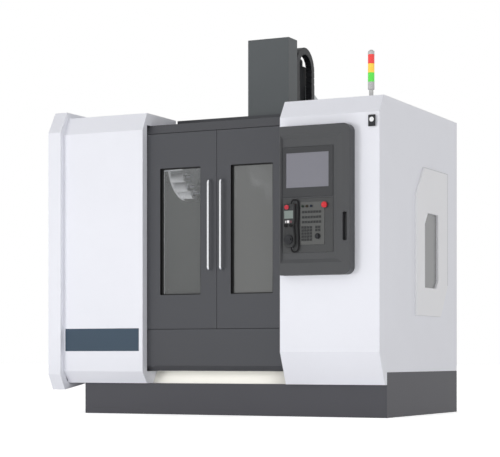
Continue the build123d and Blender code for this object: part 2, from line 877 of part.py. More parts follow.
# Two X rails on the saddle
with BuildPart() as x_linear_rails:
    with BuildSketch(side_on(spindle_x - saddle_length / 2 + 20)):
        with Locations((spindle_y, saddle_top + x_rail_height / 2)):
            with GridLocations(2 * x_rail_half_gauge, 0, 2, 1):
                Rectangle(x_rail_width, x_rail_height)
        with Locations((spindle_y, saddle_top + x_rail_height * 0.55)):
            for rail_y in (-x_rail_half_gauge, x_rail_half_gauge):
                with Locations((rail_y - x_rail_width / 2, 0), (rail_y + x_rail_width / 2, 0)):
                    Rectangle(10, x_rail_height / 4, mode=Mode.SUBTRACT)
    extrude(amount=saddle_length - 40)
x_linear_rails.part.label = "x_linear_rails"
export_step(x_linear_rails.part, "parts/x_linear_rails.step")

# X servo motor on the saddle's right end
x_motor_side = 130
x_motor_left = spindle_x + saddle_length / 2 + fit
with BuildPart() as x_servo_motor:
    with BuildSketch(side_on(x_motor_left)):
        with Locations((spindle_y, x_screw_z)):
            RectangleRounded(x_motor_side, x_motor_side, 12)
    extrude(amount=150)
    with BuildSketch(side_on(x_motor_left + 150)):
        with Locations((spindle_y, x_screw_z)):
            Circle(x_motor_side * 0.38)
    extrude(amount=40)
x_servo_motor.part.label = "x_servo_motor"
export_step(x_servo_motor.part, "parts/x_servo_motor.step")

# Telescopic steel cover in front of the saddle: four nested hoods, the widest on the saddle
hood_names = ("way_cover_saddle", "way_cover_rear", "way_cover_front", "way_cover_fixed")
hood_length = 230
hood_setback = 8
hood_half_width = 352
hood_ridge = 745
hood_eave = 712
hood_foot = 606
hood_step = sheet + fit
hood_fixed_front_y = sill_y + sheet + fit
hood_rear_front_y = saddle_front_y - fit - hood_length
for index, hood_name in enumerate(hood_names):
    inset = index * hood_step
    front_y = hood_rear_front_y + (hood_fixed_front_y - hood_rear_front_y) * index / 3
    half = hood_half_width - inset
    length = hood_length - hood_setback * (index > 0)
    with BuildPart() as hood:
        with BuildSketch(facing(front_y + length)):
            with BuildLine():
                Polyline(
                    (spindle_x - half, hood_foot),
                    (spindle_x - half, hood_eave - inset),
                    (spindle_x, hood_ridge - inset),
                    (spindle_x + half, hood_eave - inset),
                    (spindle_x + half, hood_foot),
                )
                offset(amount=sheet, side=Side.RIGHT, kind=Kind.INTERSECTION)
            make_face()
        extrude(amount=length)
        if index == 0:
            with BuildSketch(facing(saddle_front_y - fit)):
                with Locations((spindle_x, (saddle_bottom + hood_eave) / 2)):
                    Rectangle(2 * half - 2 * sheet + 1, hood_eave - saddle_bottom)
            extrude(amount=sheet)
    hood.part.label = hood_name
    export_step(hood.part, f"parts/{hood_name}.step")

# Work table with five T-slots, its trucks and the X nut
with BuildPart() as work_table:
    with BuildSketch(level(table_bottom)):
        with Locations((spindle_x, spindle_y)):
            Rectangle(table_length, table_depth)
    extrude(amount=table_top - table_bottom)
    with BuildSketch(side_on(spindle_x - table_length / 2)):
        with Locations((spindle_y, table_top - slot_neck / 2)):
            with GridLocations(slot_pitch, 0, slot_count, 1):
                Rectangle(slot_width, slot_neck)
        with Locations((spindle_y, table_top - slot_neck - slot_foot_height / 2)):
            with GridLocations(slot_pitch, 0, slot_count, 1):
                Rectangle(slot_foot_width, slot_foot_height)
    extrude(amount=table_length, mode=Mode.SUBTRACT)
    x_truck_bottom = saddle_top + 8
    with BuildSketch(level(x_truck_bottom)):
        with Locations((spindle_x, spindle_y)):
            with GridLocations(260, 2 * x_rail_half_gauge, 2, 2):
                Rectangle(90, 80)
    extrude(amount=table_bottom - x_truck_bottom)
    with BuildSketch(side_on(spindle_x - table_length / 2)):
        with Locations((spindle_y, (x_truck_bottom + saddle_top + x_rail_height + fit) / 2)):
            with GridLocations(2 * x_rail_half_gauge, 0, 2, 1):
                Rectangle(x_rail_width + 2 * fit, saddle_top + x_rail_height + fit - x_truck_bottom)
    extrude(amount=table_length, mode=Mode.SUBTRACT)
    with BuildSketch(side_on(spindle_x - 50)):
        with Locations((spindle_y, (x_screw_z - 24 + table_bottom) / 2)):
            Rectangle(groove_width - 10, table_bottom - x_screw_z + 24)
        with Locations((spindle_y, x_screw_z)):
            Circle(x_screw_radius + screw_clearance, mode=Mode.SUBTRACT)
    extrude(amount=100)
work_table.part.label = "work_table"
export_step(work_table.part, "parts/work_table.step")

# The three ball screws
with BuildPart() as y_ball_screw:
    with BuildSketch(facing(y_bearing_rear_y + bearing_length)):
        with Locations((spindle_x, y_screw_z)):
            Circle(screw_radius)
    extrude(amount=y_bearing_rear_y + bearing_length - y_bearing_front_y)
y_ball_screw.part.label = "y_ball_screw"
export_step(y_ball_screw.part, "parts/y_ball_screw.step")

with BuildPart() as x_ball_screw:
    with BuildSketch(side_on(spindle_x - x_bearing_outer)):
        with Locations((spindle_y, x_screw_z)):
            Circle(x_screw_radius)
    extrude(amount=2 * x_bearing_outer)
x_ball_screw.part.label = "x_ball_screw"
export_step(x_ball_screw.part, "parts/x_ball_screw.step")

with BuildPart() as z_ball_screw:
    with BuildSketch(level(z_bearing_bottom + 10)):
        with Locations((spindle_x, z_screw_y)):
            Circle(screw_radius)
    extrude(amount=column_top + seat_height - z_bearing_bottom - 10)
z_ball_screw.part.label = "z_ball_screw"
export_step(z_ball_screw.part, "parts/z_ball_screw.step")

# Head casting: slide plate with trucks and nut, overhanging body and spindle cartridge
head_half_width = cover_width / 2 - sheet - fit
slide_front_y = 205
slide_back_y = 247
cartridge_radius = 85
cartridge_bottom = nose_z + 25
head_belly_z = 1640
z_nut_width = 100
z_nut_front_y = slide_back_y - 25
z_nut_back_y = column_front - 4
with BuildPart() as head_casting:
    with BuildSketch(level(head_slide_bottom)):
        with Locations((spindle_x, (slide_front_y + slide_back_y) / 2)):
            Rectangle(2 * head_slide_half_width, slide_back_y - slide_front_y)
    extrude(amount=head_slide_height)
    with BuildSketch(level(head_slide_bottom)):
        with Locations((spindle_x, z_screw_y)):
            Circle(screw_radius + 6)
    extrude(amount=head_slide_height, mode=Mode.SUBTRACT)
    with BuildSketch(side_on(spindle_x - head_half_width)):
        with BuildLine():
            Polyline(
                (slide_front_y + 2, head_slide_bottom + 20),
                (slide_front_y + 2, head_slide_bottom + head_slide_height),
                (60, head_top),
                (head_front_y, head_top),
                (head_front_y, head_belly_z + 40),
                (spindle_y - 95, head_belly_z),
                (spindle_y + 95, head_belly_z),
                close=True,
            )
        make_face()
    extrude(amount=2 * head_half_width)
    with BuildSketch(level(cartridge_bottom)):
        with Locations((spindle_x, spindle_y)):
            Circle(cartridge_radius)
    extrude(amount=head_belly_z + 20 - cartridge_bottom)
    with BuildSketch(level(cartridge_bottom)):
        with Locations((spindle_x, spindle_y)):
            Circle(quill_radius + screw_clearance)
    extrude(amount=160, mode=Mode.SUBTRACT)
    with BuildSketch(level(head_slide_bottom)):
        with Locations((spindle_x, slide_back_y + 18)):
            with GridLocations(2 * z_rail_half_gauge, 0, 2, 1):
                Rectangle(70, 36)
    extrude(amount=head_slide_height)
    with BuildSketch(level(head_slide_bottom + 110)):
        with Locations((spindle_x, slide_back_y + 18)):
            with GridLocations(2 * z_rail_half_gauge, 0, 2, 1):
                Rectangle(70, 36)
    extrude(amount=head_slide_height - 220, mode=Mode.SUBTRACT)
    with BuildSketch(level(head_slide_bottom)):
        with Locations((spindle_x, column_front - rail_height / 2)):
            with GridLocations(2 * z_rail_half_gauge, 0, 2, 1):
                Rectangle(rail_width + 2 * fit, rail_height + 2 * fit)
    extrude(amount=head_slide_height, mode=Mode.SUBTRACT)
    with BuildSketch(level(head_slide_bottom + 160)):
        with Locations((spindle_x, (z_nut_front_y + z_nut_back_y) / 2)):
            Rectangle(z_nut_width, z_nut_back_y - z_nut_front_y)
        with Locations((spindle_x, z_screw_y)):
            Circle(screw_radius + screw_clearance, mode=Mode.SUBTRACT)
    extrude(amount=100)
head_casting.part.label = "head_casting"
export_step(head_casting.part, "parts/head_casting.step")

# Spindle with its nose flange, drive keys and steep taper socket
with BuildPart() as spindle_nose:
    with BuildSketch(Plane.XZ.offset(-spindle_y)):
        with BuildLine():
            Polyline(
                (spindle_x, nose_z + 180),
                (spindle_x, nose_z + 66),
                (spindle_x + taper_radius - 66 * 7 / 48, nose_z + 66),
                (spindle_x + taper_radius, nose_z),
                (spindle_x + 62, nose_z),
                (spindle_x + 62, nose_z + 22),
                (spindle_x + quill_radius, nose_z + 22),
                (spindle_x + quill_radius, nose_z + 180),
                close=True,
            )
        make_face()
    revolve(axis=Axis((spindle_x, spindle_y, 0), (0, 0, 1)))
    with BuildSketch(level(nose_z - 6)):
        with Locations((spindle_x, spindle_y)):
            with GridLocations(70, 0, 2, 1):
                Rectangle(18, 16)
    extrude(amount=6)
spindle_nose.part.label = "spindle_nose"
export_step(spindle_nose.part, "parts/spindle_nose.step")

# Spindle motor on the head, with a round fan cowl on top
cowl_height = 60
with BuildPart() as spindle_motor:
    with BuildSketch(level(head_top)):
        with Locations((spindle_x, motor_y)):
            RectangleRounded(motor_side, motor_side + 30, 20)
    extrude(amount=spindle_motor_height - cowl_height)
    with BuildSketch(level(head_top + spindle_motor_height - cowl_height)):
        with Locations((spindle_x, motor_y)):
            Circle(motor_side / 2 - 4)
    extrude(amount=cowl_height)
    fillet(spindle_motor.faces().sort_by(Axis.Z)[-1].edges(), 25)
spindle_motor.part.label = "spindle_motor"
export_step(spindle_motor.part, "parts/spindle_motor.step")

# Tall folded head cover with the guide channel of the cable chain on its right
chain_right_x = chain_left_x + chain_width
front_tray_top = 2400
with BuildPart() as head_cover:
    with BuildSketch(level(cover_bottom)):
        with BuildLine():
            Polyline(
                (spindle_x - cover_width / 2, cover_front_y + cover_depth),
                (spindle_x - cover_width / 2, cover_front_y),
                (spindle_x + cover_width / 2, cover_front_y),
                (spindle_x + cover_width / 2, cover_front_y + cover_depth),
            )
            offset(amount=sheet, side=Side.LEFT, kind=Kind.INTERSECTION)
        make_face()
    extrude(amount=cover_top - cover_bottom)
    with BuildSketch(level(cover_top - sheet)):
        with Locations((spindle_x, cover_front_y + cover_depth / 2)):
            Rectangle(cover_width, cover_depth)
    extrude(amount=sheet)
    with BuildSketch(level(head_top)):
        with BuildLine():
            Polyline(
                (chain_right_x, chain_front_y - fit),
                (chain_left_x - fit, chain_front_y - fit),
                (chain_left_x - fit, chain_front_y + chain_thickness + fit),
                (chain_right_x, chain_front_y + chain_thickness + fit),
            )
            offset(amount=sheet, side=Side.LEFT, kind=Kind.INTERSECTION)
        make_face()
        with Locations((chain_left_x - fit - sheet / 2, (cover_front_y + chain_front_y) / 2)):
            Rectangle(sheet, chain_front_y - cover_front_y - 2 * sheet)
    extrude(amount=front_tray_top - head_top)
head_cover.part.label = "head_cover"
export_step(head_cover.part, "parts/head_cover.step")

# Cable chain: two straight runs and the arch between them, with the joints between its links
arch_outer = (chain_rear_y - chain_front_y) / 2
arch_inner = arch_outer - chain_thickness
arch_y = (chain_rear_y + chain_front_y) / 2
front_run_bottom = head_top + 10
rear_run_bottom = 2165
joint_width = 4
joint_depth = 8
arch_joints = 10
with BuildPart() as cable_chain:
    with BuildSketch(side_on(chain_left_x)):
        with Locations((arch_y, chain_centre_z)):
            Circle(arch_outer)
            Circle(arch_inner, mode=Mode.SUBTRACT)
        with Locations((arch_y, chain_centre_z - arch_outer)):
            Rectangle(2 * arch_outer, 2 * arch_outer, mode=Mode.SUBTRACT)
        for run_y, run_bottom in (
            (chain_front_y + chain_thickness / 2, front_run_bottom),
            (chain_rear_y - chain_thickness / 2, rear_run_bottom),
        ):
            with Locations((run_y, (run_bottom + chain_centre_z) / 2)):
                Rectangle(chain_thickness, chain_centre_z - run_bottom)
            with Locations((run_y, chain_centre_z)):
                joint_count = int((chain_centre_z - run_bottom) / chain_pitch)
                for joint in range(joint_count):
                    with Locations((0, -joint * chain_pitch)):
                        with GridLocations(chain_thickness, 0, 2, 1):
                            Rectangle(2 * joint_depth, joint_width, mode=Mode.SUBTRACT)
        with Locations((arch_y, chain_centre_z)):
            for joint in range(1, arch_joints):
                with Locations(Rotation(0, 0, 180 * joint / arch_joints)):
                    with Locations((arch_outer, 0), (arch_inner, 0)):
                        Rectangle(2 * joint_depth, joint_width, mode=Mode.SUBTRACT)
    extrude(amount=chain_width)
cable_chain.part.label = "cable_chain"
export_step(cable_chain.part, "parts/cable_chain.step")

# Bracket on the column that guides the chain's rear run; its front lip ends below the lowered arch
rear_tray_top = 2400
rear_tray_bottom = 2160
rear_lip_top = chain_centre_z - z_travel / 2 - 5
bracket_foot_y = 420
bracket_foot_length = 110
bracket_arm_drop = 150
bracket_knee_drop = 230
bracket_foot_width = 64
bracket_foot_thickness = 8
bracket_side_x = chain_left_x - fit - 2 * sheet
bracket_foot_x = chain_left_x + 25
with BuildPart() as chain_bracket:
    with BuildSketch(level(rear_tray_bottom)):
        with BuildLine():
            Polyline(
                (chain_right_x, chain_rear_y - chain_thickness - fit),
                (chain_left_x - fit, chain_rear_y - chain_thickness - fit),
                (chain_left_x - fit, chain_rear_y + fit),
                (chain_right_x, chain_rear_y + fit),
            )
            offset(amount=sheet, side=Side.LEFT, kind=Kind.INTERSECTION)
        make_face()
    extrude(amount=rear_lip_top - rear_tray_bottom)
    with BuildSketch(level(rear_lip_top)):
        with BuildLine():
            Polyline(
                (chain_left_x - fit, chain_rear_y - chain_thickness - fit),
                (chain_left_x - fit, chain_rear_y + fit),
                (chain_right_x, chain_rear_y + fit),
            )
            offset(amount=sheet, side=Side.LEFT, kind=Kind.INTERSECTION)
        make_face()
    extrude(amount=rear_tray_top - rear_lip_top)
    with BuildSketch(side_on(bracket_side_x)):
        with BuildLine():
            Polyline(
                (chain_rear_y - chain_thickness, rear_tray_bottom),
                (chain_rear_y - chain_thickness, rear_tray_top),
                (chain_rear_y, rear_tray_top),
                (bracket_foot_y, rear_tray_top - bracket_arm_drop),
                (bracket_foot_y, column_top),
                (bracket_foot_y - bracket_foot_length, column_top),
                (bracket_foot_y - bracket_foot_length, rear_tray_top - bracket_knee_drop),
                close=True,
            )
        make_face()
    extrude(amount=2 * sheet)
    with BuildSketch(level(column_top)):
        with Locations((bracket_foot_x, bracket_foot_y - bracket_foot_length / 2)):
            Rectangle(bracket_foot_width, bracket_foot_length)
    extrude(amount=bracket_foot_thickness)
chain_bracket.part.label = "chain_bracket"
export_step(chain_bracket.part, "parts/chain_bracket.step")

# Folded bellows over the column's rails, between the shelf and the head
bellows_bottom = shelf_z + shelf_thickness
bellows_top = head_slide_bottom - fit
fold_count = 18
fold_depth = 14
fold_pitch = (bellows_top - bellows_bottom) / fold_count
with BuildPart() as z_way_cover:
    with BuildSketch(side_on(spindle_x - bellows_width / 2)):
        with BuildLine():
            Polyline(
                (bellows_back_y, bellows_top),
                (bellows_back_y, bellows_bottom),
                (bellows_front_y + fold_depth, bellows_bottom),
                *[
                    (
                        bellows_front_y + fold_depth * (half_fold % 2 == 0),
                        bellows_bottom + fold_pitch * half_fold / 2,
                    )
                    for half_fold in range(1, 2 * fold_count)
                ],
                (bellows_front_y + fold_depth, bellows_top),
                close=True,
            )
        make_face()
    extrude(amount=bellows_width)
z_way_cover.part.label = "z_way_cover"
export_step(z_way_cover.part, "parts/z_way_cover.step")

# Tool magazine: disc, hub, axle and a ring of pots with tool holders; the tilting pot takes the lowest place
arm_x = spindle_x - arm_reach
pot_x = spindle_x - 2 * arm_reach
pot_z = nose_z + pot_length - pot_tail
disc_z = pot_z + pot_circle_radius
disc_front_x = pot_x - pot_tail
frame_plate_x = disc_front_x - disc_thickness - 90
frame_plate_thickness = 25
ear_gap = 2
ear_thickness = 5
pivot_radius = 6
pot_floor = 30
holder_flange_radius = 31.5
holder_flange_height = 16
holder_nose_radius = 19
holder_nose_length = 40
with BuildPart() as tool_carousel:
    with BuildSketch(side_on(disc_front_x - disc_thickness)):
        with Locations((spindle_y, disc_z)):
            Circle(pot_circle_radius + 30)
            Circle(60, mode=Mode.SUBTRACT)
            with PolarLocations(140, 6):
                Circle(38, mode=Mode.SUBTRACT)
        with Locations((spindle_y, disc_z - pot_circle_radius)):
            Rectangle(2 * (pot_radius + ear_gap), 120, mode=Mode.SUBTRACT)
    extrude(amount=disc_thickness)
    with BuildSketch(side_on(frame_plate_x + frame_plate_thickness + 2)):
        with Locations((spindle_y, disc_z)):
            Circle(62)
    extrude(amount=disc_front_x - frame_plate_x - frame_plate_thickness - 2)
    with BuildSketch(side_on(frame_plate_x)):
        with Locations((spindle_y, disc_z)):
            Circle(30)
    extrude(amount=frame_plate_thickness + 4)
    pot_mouth_x = disc_front_x + pot_length
    for radius, start_x, end_x in (
        (pot_radius, disc_front_x - 2, pot_mouth_x),
        (holder_flange_radius, pot_mouth_x - 1, pot_mouth_x + holder_flange_height),
        (holder_nose_radius, pot_mouth_x, pot_mouth_x + holder_flange_height + holder_nose_length),
    ):
        with BuildSketch(side_on(start_x)):
            with Locations((spindle_y, disc_z)):
                for place in range(1, pot_count):
                    turn = radians(-90 + 360 * place / pot_count)
                    with Locations((pot_circle_radius * cos(turn), pot_circle_radius * sin(turn))):
                        Circle(radius)
        extrude(amount=end_x - start_x)
    with BuildSketch(side_on(disc_front_x - 2)):
        with Locations((spindle_y, pot_z)):
            with GridLocations(2 * (pot_radius + ear_gap) + ear_thickness, 0, 2, 1):
                Rectangle(ear_thickness, 26)
    extrude(amount=pot_tail + 14)
    with BuildSketch(facing(spindle_y + 60)):
        with Locations((pot_x, pot_z)):
            Circle(pivot_radius + screw_clearance)
    extrude(amount=120, mode=Mode.SUBTRACT)
tool_carousel.part.label = "tool_carousel"
export_step(tool_carousel.part, "parts/tool_carousel.step")

# The pot at the change place, which tilts down on its own pins
with BuildPart() as change_pot:
    with BuildSketch(side_on(disc_front_x)):
        with Locations((spindle_y, pot_z)):
            Circle(pot_radius)
    extrude(amount=pot_length)
    with BuildSketch(side_on(disc_front_x + pot_floor)):
        with Locations((spindle_y, pot_z)):
            Circle(pot_bore_radius)
    extrude(amount=pot_length, mode=Mode.SUBTRACT)
    pin_reach = pot_radius + ear_gap + ear_thickness
    with BuildSketch(facing(spindle_y + pin_reach)):
        with Locations((pot_x, pot_z)):
            Circle(pivot_radius)
    extrude(amount=pin_reach - pot_radius + 3)
    with BuildSketch(facing(spindle_y - pot_radius + 3)):
        with Locations((pot_x, pot_z)):
            Circle(pivot_radius)
    extrude(amount=pin_reach - pot_radius + 3)
change_pot.part.label = "change_pot"
export_step(change_pot.part, "parts/change_pot.step")

# Changer frame on the column: beam, disc plate with its geared motor, and the arm's cam box
beam_front_y = column_front + 6
beam_depth = 44
beam_bottom = 1640
beam_top = 1900
cam_box_width = 170
cam_box_bottom = nose_z + 45
cam_box_top = 1800
cam_box_front_y = spindle_y - 95
shaft_radius = 25
with BuildPart() as changer_frame:
    with BuildSketch(facing(beam_front_y + beam_depth)):
        with BuildLine():
            Polyline(
                (frame_plate_x, beam_bottom),
                (frame_plate_x, beam_top),
                (spindle_x - column_width / 2 - fit, beam_top),
                (spindle_x - column_width / 2 - fit, beam_bottom),
                close=True,
            )
        make_face()
    extrude(amount=beam_depth)
    with BuildSketch(side_on(frame_plate_x)):
        with BuildLine():
            Polyline(
                (beam_front_y + beam_depth, beam_bottom),
                (beam_front_y + beam_depth, beam_top),
                (spindle_y, disc_z + 95),
                (spindle_y - 95, disc_z + 40),
                (spindle_y - 95, disc_z - 60),
                (spindle_y, disc_z - 105),
                close=True,
            )
        make_face()
        with Locations((spindle_y, disc_z)):
            Circle(30 + screw_clearance, mode=Mode.SUBTRACT)
    extrude(amount=frame_plate_thickness)
    with BuildSketch(side_on(frame_plate_x)):
        with Locations((spindle_y, disc_z)):
            Circle(75)
    extrude(amount=-30)
    with BuildSketch(side_on(frame_plate_x - 30)):
        with Locations((spindle_y, disc_z)):
            Circle(50)
    extrude(amount=-120)
    with BuildSketch(level(cam_box_bottom)):
        with Locations((arm_x, (cam_box_front_y + beam_front_y + 5) / 2)):
            Rectangle(cam_box_width, beam_front_y + 5 - cam_box_front_y)
        with Locations((arm_x, spindle_y)):
            Circle(shaft_radius + screw_clearance, mode=Mode.SUBTRACT)
    extrude(amount=cam_box_top - cam_box_bottom)
    with BuildSketch(level(cam_box_top)):
        with Locations((arm_x, spindle_y + 110)):
            Circle(55)
    extrude(amount=170)
changer_frame.part.label = "changer_frame"
export_step(changer_frame.part, "parts/changer_frame.step")

# Arm shaft, which drops the arm, and the double-ended gripper arm that turns on its foot
arm_top = nose_z - arm_gap
arm_bottom = arm_top - arm_thickness
hub_radius = 58
jaw_radius = 54
jaw_bore = 32
arm_root_half = 42
arm_tip_half = 24
with BuildPart() as arm_shaft:
    with BuildSketch(level(arm_bottom)):
        with Locations((arm_x, spindle_y)):
            Circle(shaft_radius)
    extrude(amount=cam_box_top - arm_bottom)
    with BuildSketch(level(arm_top + fit)):
        with Locations((arm_x, spindle_y)):
            Circle(shaft_radius + 14)
    extrude(amount=18)
arm_shaft.part.label = "arm_shaft"
export_step(arm_shaft.part, "parts/arm_shaft.step")

with BuildPart() as change_arm:
    with BuildSketch(level(arm_bottom)):
        with Locations((arm_x, spindle_y)):
            Circle(hub_radius)
            for side in (-1, 1):
                arm_end = side * (arm_reach - 30)
                Polygon(
                    (-arm_root_half, 0),
                    (-arm_tip_half, arm_end),
                    (arm_tip_half, arm_end),
                    (arm_root_half, 0),
                    align=None,
                )
                with Locations((0, side * arm_reach)):
                    Circle(jaw_radius)
            for side in (-1, 1):
                with Locations((0, side * arm_reach)):
                    Circle(jaw_bore, mode=Mode.SUBTRACT)
                with Locations((-side * jaw_radius, side * arm_reach)):
                    Rectangle(2 * jaw_radius, 2 * jaw_bore - 6, mode=Mode.SUBTRACT)
            Circle(shaft_radius + screw_clearance, mode=Mode.SUBTRACT)
    extrude(amount=arm_thickness)
change_arm.part.label = "change_arm"
export_step(change_arm.part, "parts/change_arm.step")

# Console housing: rounded at the right, with a sloped recess, a pull slot, switch bores and hinge barrels
estop_x = 906
estop_z = 1392
estop_shank = 11
dial_x = 855
dial_z = 1189
dial_shank = 5
button_places = ((749, 1387), (779, 1387), (810, 1387))
button_radius = 8
button_shank = 6
shank_clearance = 0.4
shank_bore_depth = 16
console_gap = 0.5
console_back_y = column_front_y - console_gap
console_front_y = console_back_y - console_depth
console_right = console_left + console_width
console_middle_z = console_bottom + console_height / 2
recess_left = 590
recess_right = 1034
recess_bottom = 1015
recess_top = 1859
recess_slope_side = 52
recess_slope_top = 26
face_y = console_front_y + recess_depth
pull_x = 1048
pull_z = 1249
pull_width = 30
pull_height = 186
pull_depth = 40
with BuildPart() as console_housing:
    with BuildSketch(facing(console_back_y)):
        with Locations(((console_left + console_right) / 2, console_middle_z)):
            Rectangle(console_width, console_height)
    extrude(amount=console_depth)
    fillet(console_housing.edges().filter_by(Axis.Y).group_by(Axis.X)[-1], console_corner)
    fillet(console_housing.edges().filter_by(Axis.Y).group_by(Axis.X)[0], 8)
    chamfer(console_housing.faces().sort_by(Axis.Y)[0].edges(), 3)
    with BuildSketch(facing(console_front_y)):
        with BuildLine():
            Polyline(
                (recess_left, recess_bottom),
                (recess_right, recess_bottom),
                (recess_right, recess_top),
                (recess_left, recess_top),
                close=True,
            )
        make_face()
    with BuildSketch(facing(face_y)):
        with BuildLine():
            Polyline(
                (recess_left + 10, recess_bottom + recess_slope_top),
                (recess_right - recess_slope_side, recess_bottom + recess_slope_top),
                (recess_right - recess_slope_side, recess_top - recess_slope_top),
                (recess_left + 10, recess_top - recess_slope_top),
                close=True,
            )
        make_face()
    loft(mode=Mode.SUBTRACT)
    with BuildSketch(facing(console_front_y)):
        with Locations((pull_x, pull_z)):
            RectangleRounded(pull_width, pull_height, 10)
    extrude(amount=-pull_depth, mode=Mode.SUBTRACT)
    with BuildSketch(facing(face_y)):
        with Locations(*button_places):
            Circle(button_shank + shank_clearance)
        with Locations((estop_x, estop_z)):
            Circle(estop_shank + shank_clearance)
    extrude(amount=-shank_bore_depth, mode=Mode.SUBTRACT)
    for barrel_z in barrel_levels:
        with BuildSketch(level(barrel_z + barrel_height + fit)):
            with Locations((console_hinge_x, console_hinge_y)):
                Circle(barrel_radius)
            with Locations(((console_hinge_x + console_left + 4) / 2, console_hinge_y)):
                Rectangle(console_left + 4 - console_hinge_x, 6)
        extrude(amount=barrel_height)
console_housing.part.label = "console_housing"
export_step(console_housing.part, "parts/console_housing.step")

# Screen module and key module in the recess
module_left = 601
module_width = 361
screen_module_bottom = 1449
screen_module_height = 331
key_module_bottom = 1084
key_module_height = 356
module_proud = 5
screen_left = 626
screen_bottom = 1512
screen_width = 304
screen_height = 228
with BuildPart() as console_screen:
    with BuildSketch(facing(face_y)):
        with Locations((module_left + module_width / 2, screen_module_bottom + screen_module_height / 2)):
            Rectangle(module_width, screen_module_height)
    extrude(amount=module_proud)
    chamfer(console_screen.faces().sort_by(Axis.Y)[0].edges(), 2)
    with BuildSketch(facing(face_y - module_proud)):
        with Locations((screen_left + screen_width / 2, screen_bottom + screen_height / 2)):
            Rectangle(screen_width, screen_height)
    extrude(amount=-2, mode=Mode.SUBTRACT)
console_screen.part.label = "console_screen"
export_step(console_screen.part, "parts/console_screen.step")

key_field_left = 731
key_field_width = 171
key_field_bottom = 1135
key_field_height = 280
key_rows = (1349, 1315, 1283)
key_pitch = 20
key_size = 16
key_margin = 10
cursor_grid_z = 1208
axis_grid_x = 124
axis_grid_z = 1238
panel_front_face_y = face_y - module_proud
with BuildPart() as operator_panel:
    with BuildSketch(facing(face_y)):
        with Locations((module_left + module_width / 2, key_module_bottom + key_module_height / 2)):
            Rectangle(module_width, key_module_height)
    extrude(amount=module_proud)
    chamfer(operator_panel.faces().sort_by(Axis.Y)[0].edges(), 2)
    with BuildSketch(facing(panel_front_face_y)):
        with Locations((key_field_left + key_field_width / 2, key_field_bottom + key_field_height / 2)):
            RectangleRounded(key_field_width, key_field_height, 6)
    extrude(amount=3)
    with BuildSketch(facing(panel_front_face_y - 3)):
        for row_z in key_rows:
            with Locations((key_field_left + key_margin + 3.5 * key_pitch, row_z)):
                with GridLocations(key_pitch, 0, 7, 1):
                    Rectangle(key_size, key_size - 1)
        with Locations((key_field_left + key_margin + 1.75 * key_pitch, cursor_grid_z)):
            with GridLocations(key_pitch, key_pitch, 4, 5):
                Rectangle(key_size, key_size)
        with Locations((key_field_left + axis_grid_x, axis_grid_z)):
            with GridLocations(key_pitch, key_pitch, 2, 2):
                Rectangle(key_size, key_size)
    extrude(amount=2)
    with BuildSketch(facing(face_y)):
        with Locations(*button_places):
            Circle(button_shank + shank_clearance)
        with Locations((estop_x, estop_z)):
            Circle(estop_shank + shank_clearance)
        with Locations((dial_x, dial_z)):
            Circle(dial_shank + shank_clearance)
    extrude(amount=module_proud + 3, mode=Mode.SUBTRACT)
operator_panel.part.label = "operator_panel"
export_step(operator_panel.part, "parts/operator_panel.step")

# Mushroom stop button, three push buttons and the override dial
field_front_y = panel_front_face_y - 3
with BuildPart() as estop_button:
    with BuildSketch(facing(face_y + 6)):
        with Locations((estop_x, estop_z)):
            Circle(estop_shank)
    extrude(amount=module_proud + 18)
    with BuildSketch(facing(panel_front_face_y - 9)):
        with Locations((estop_x, estop_z)):
            Circle(20)
    extrude(amount=16)
    fillet(estop_button.faces().sort_by(Axis.Y)[0].edges(), 7)
estop_button.part.label = "estop_button"
export_step(estop_button.part, "parts/estop_button.step")

button_names = ("cycle_start_button", "feed_hold_button", "coolant_button")
for button_name, (button_x, button_z) in zip(button_names, button_places):
    with BuildPart() as push_button:
        with BuildSketch(facing(face_y + 6)):
            with Locations((button_x, button_z)):
                Circle(button_shank)
        extrude(amount=module_proud + 16)
        with BuildSketch(facing(field_front_y - 5)):
            with Locations((button_x, button_z)):
                Circle(button_radius)
        extrude(amount=5)
    push_button.part.label = button_name
    export_step(push_button.part, f"parts/{button_name}.step")

with BuildPart() as override_dial:
    with BuildSketch(facing(face_y - fit)):
        with Locations((dial_x, dial_z)):
            Circle(dial_shank)
    extrude(amount=module_proud + 6)
    with BuildSketch(facing(field_front_y - 0.6)):
        with Locations((dial_x, dial_z)):
            Circle(19)
    extrude(amount=6)
    with BuildSketch(facing(field_front_y - 6.6)):
        with Locations((dial_x, dial_z)):
            Circle(13)
            with PolarLocations(13, 10):
                Circle(2, mode=Mode.SUBTRACT)
    extrude(amount=12)
override_dial.part.label = "override_dial"
export_step(override_dial.part, "parts/override_dial.step")

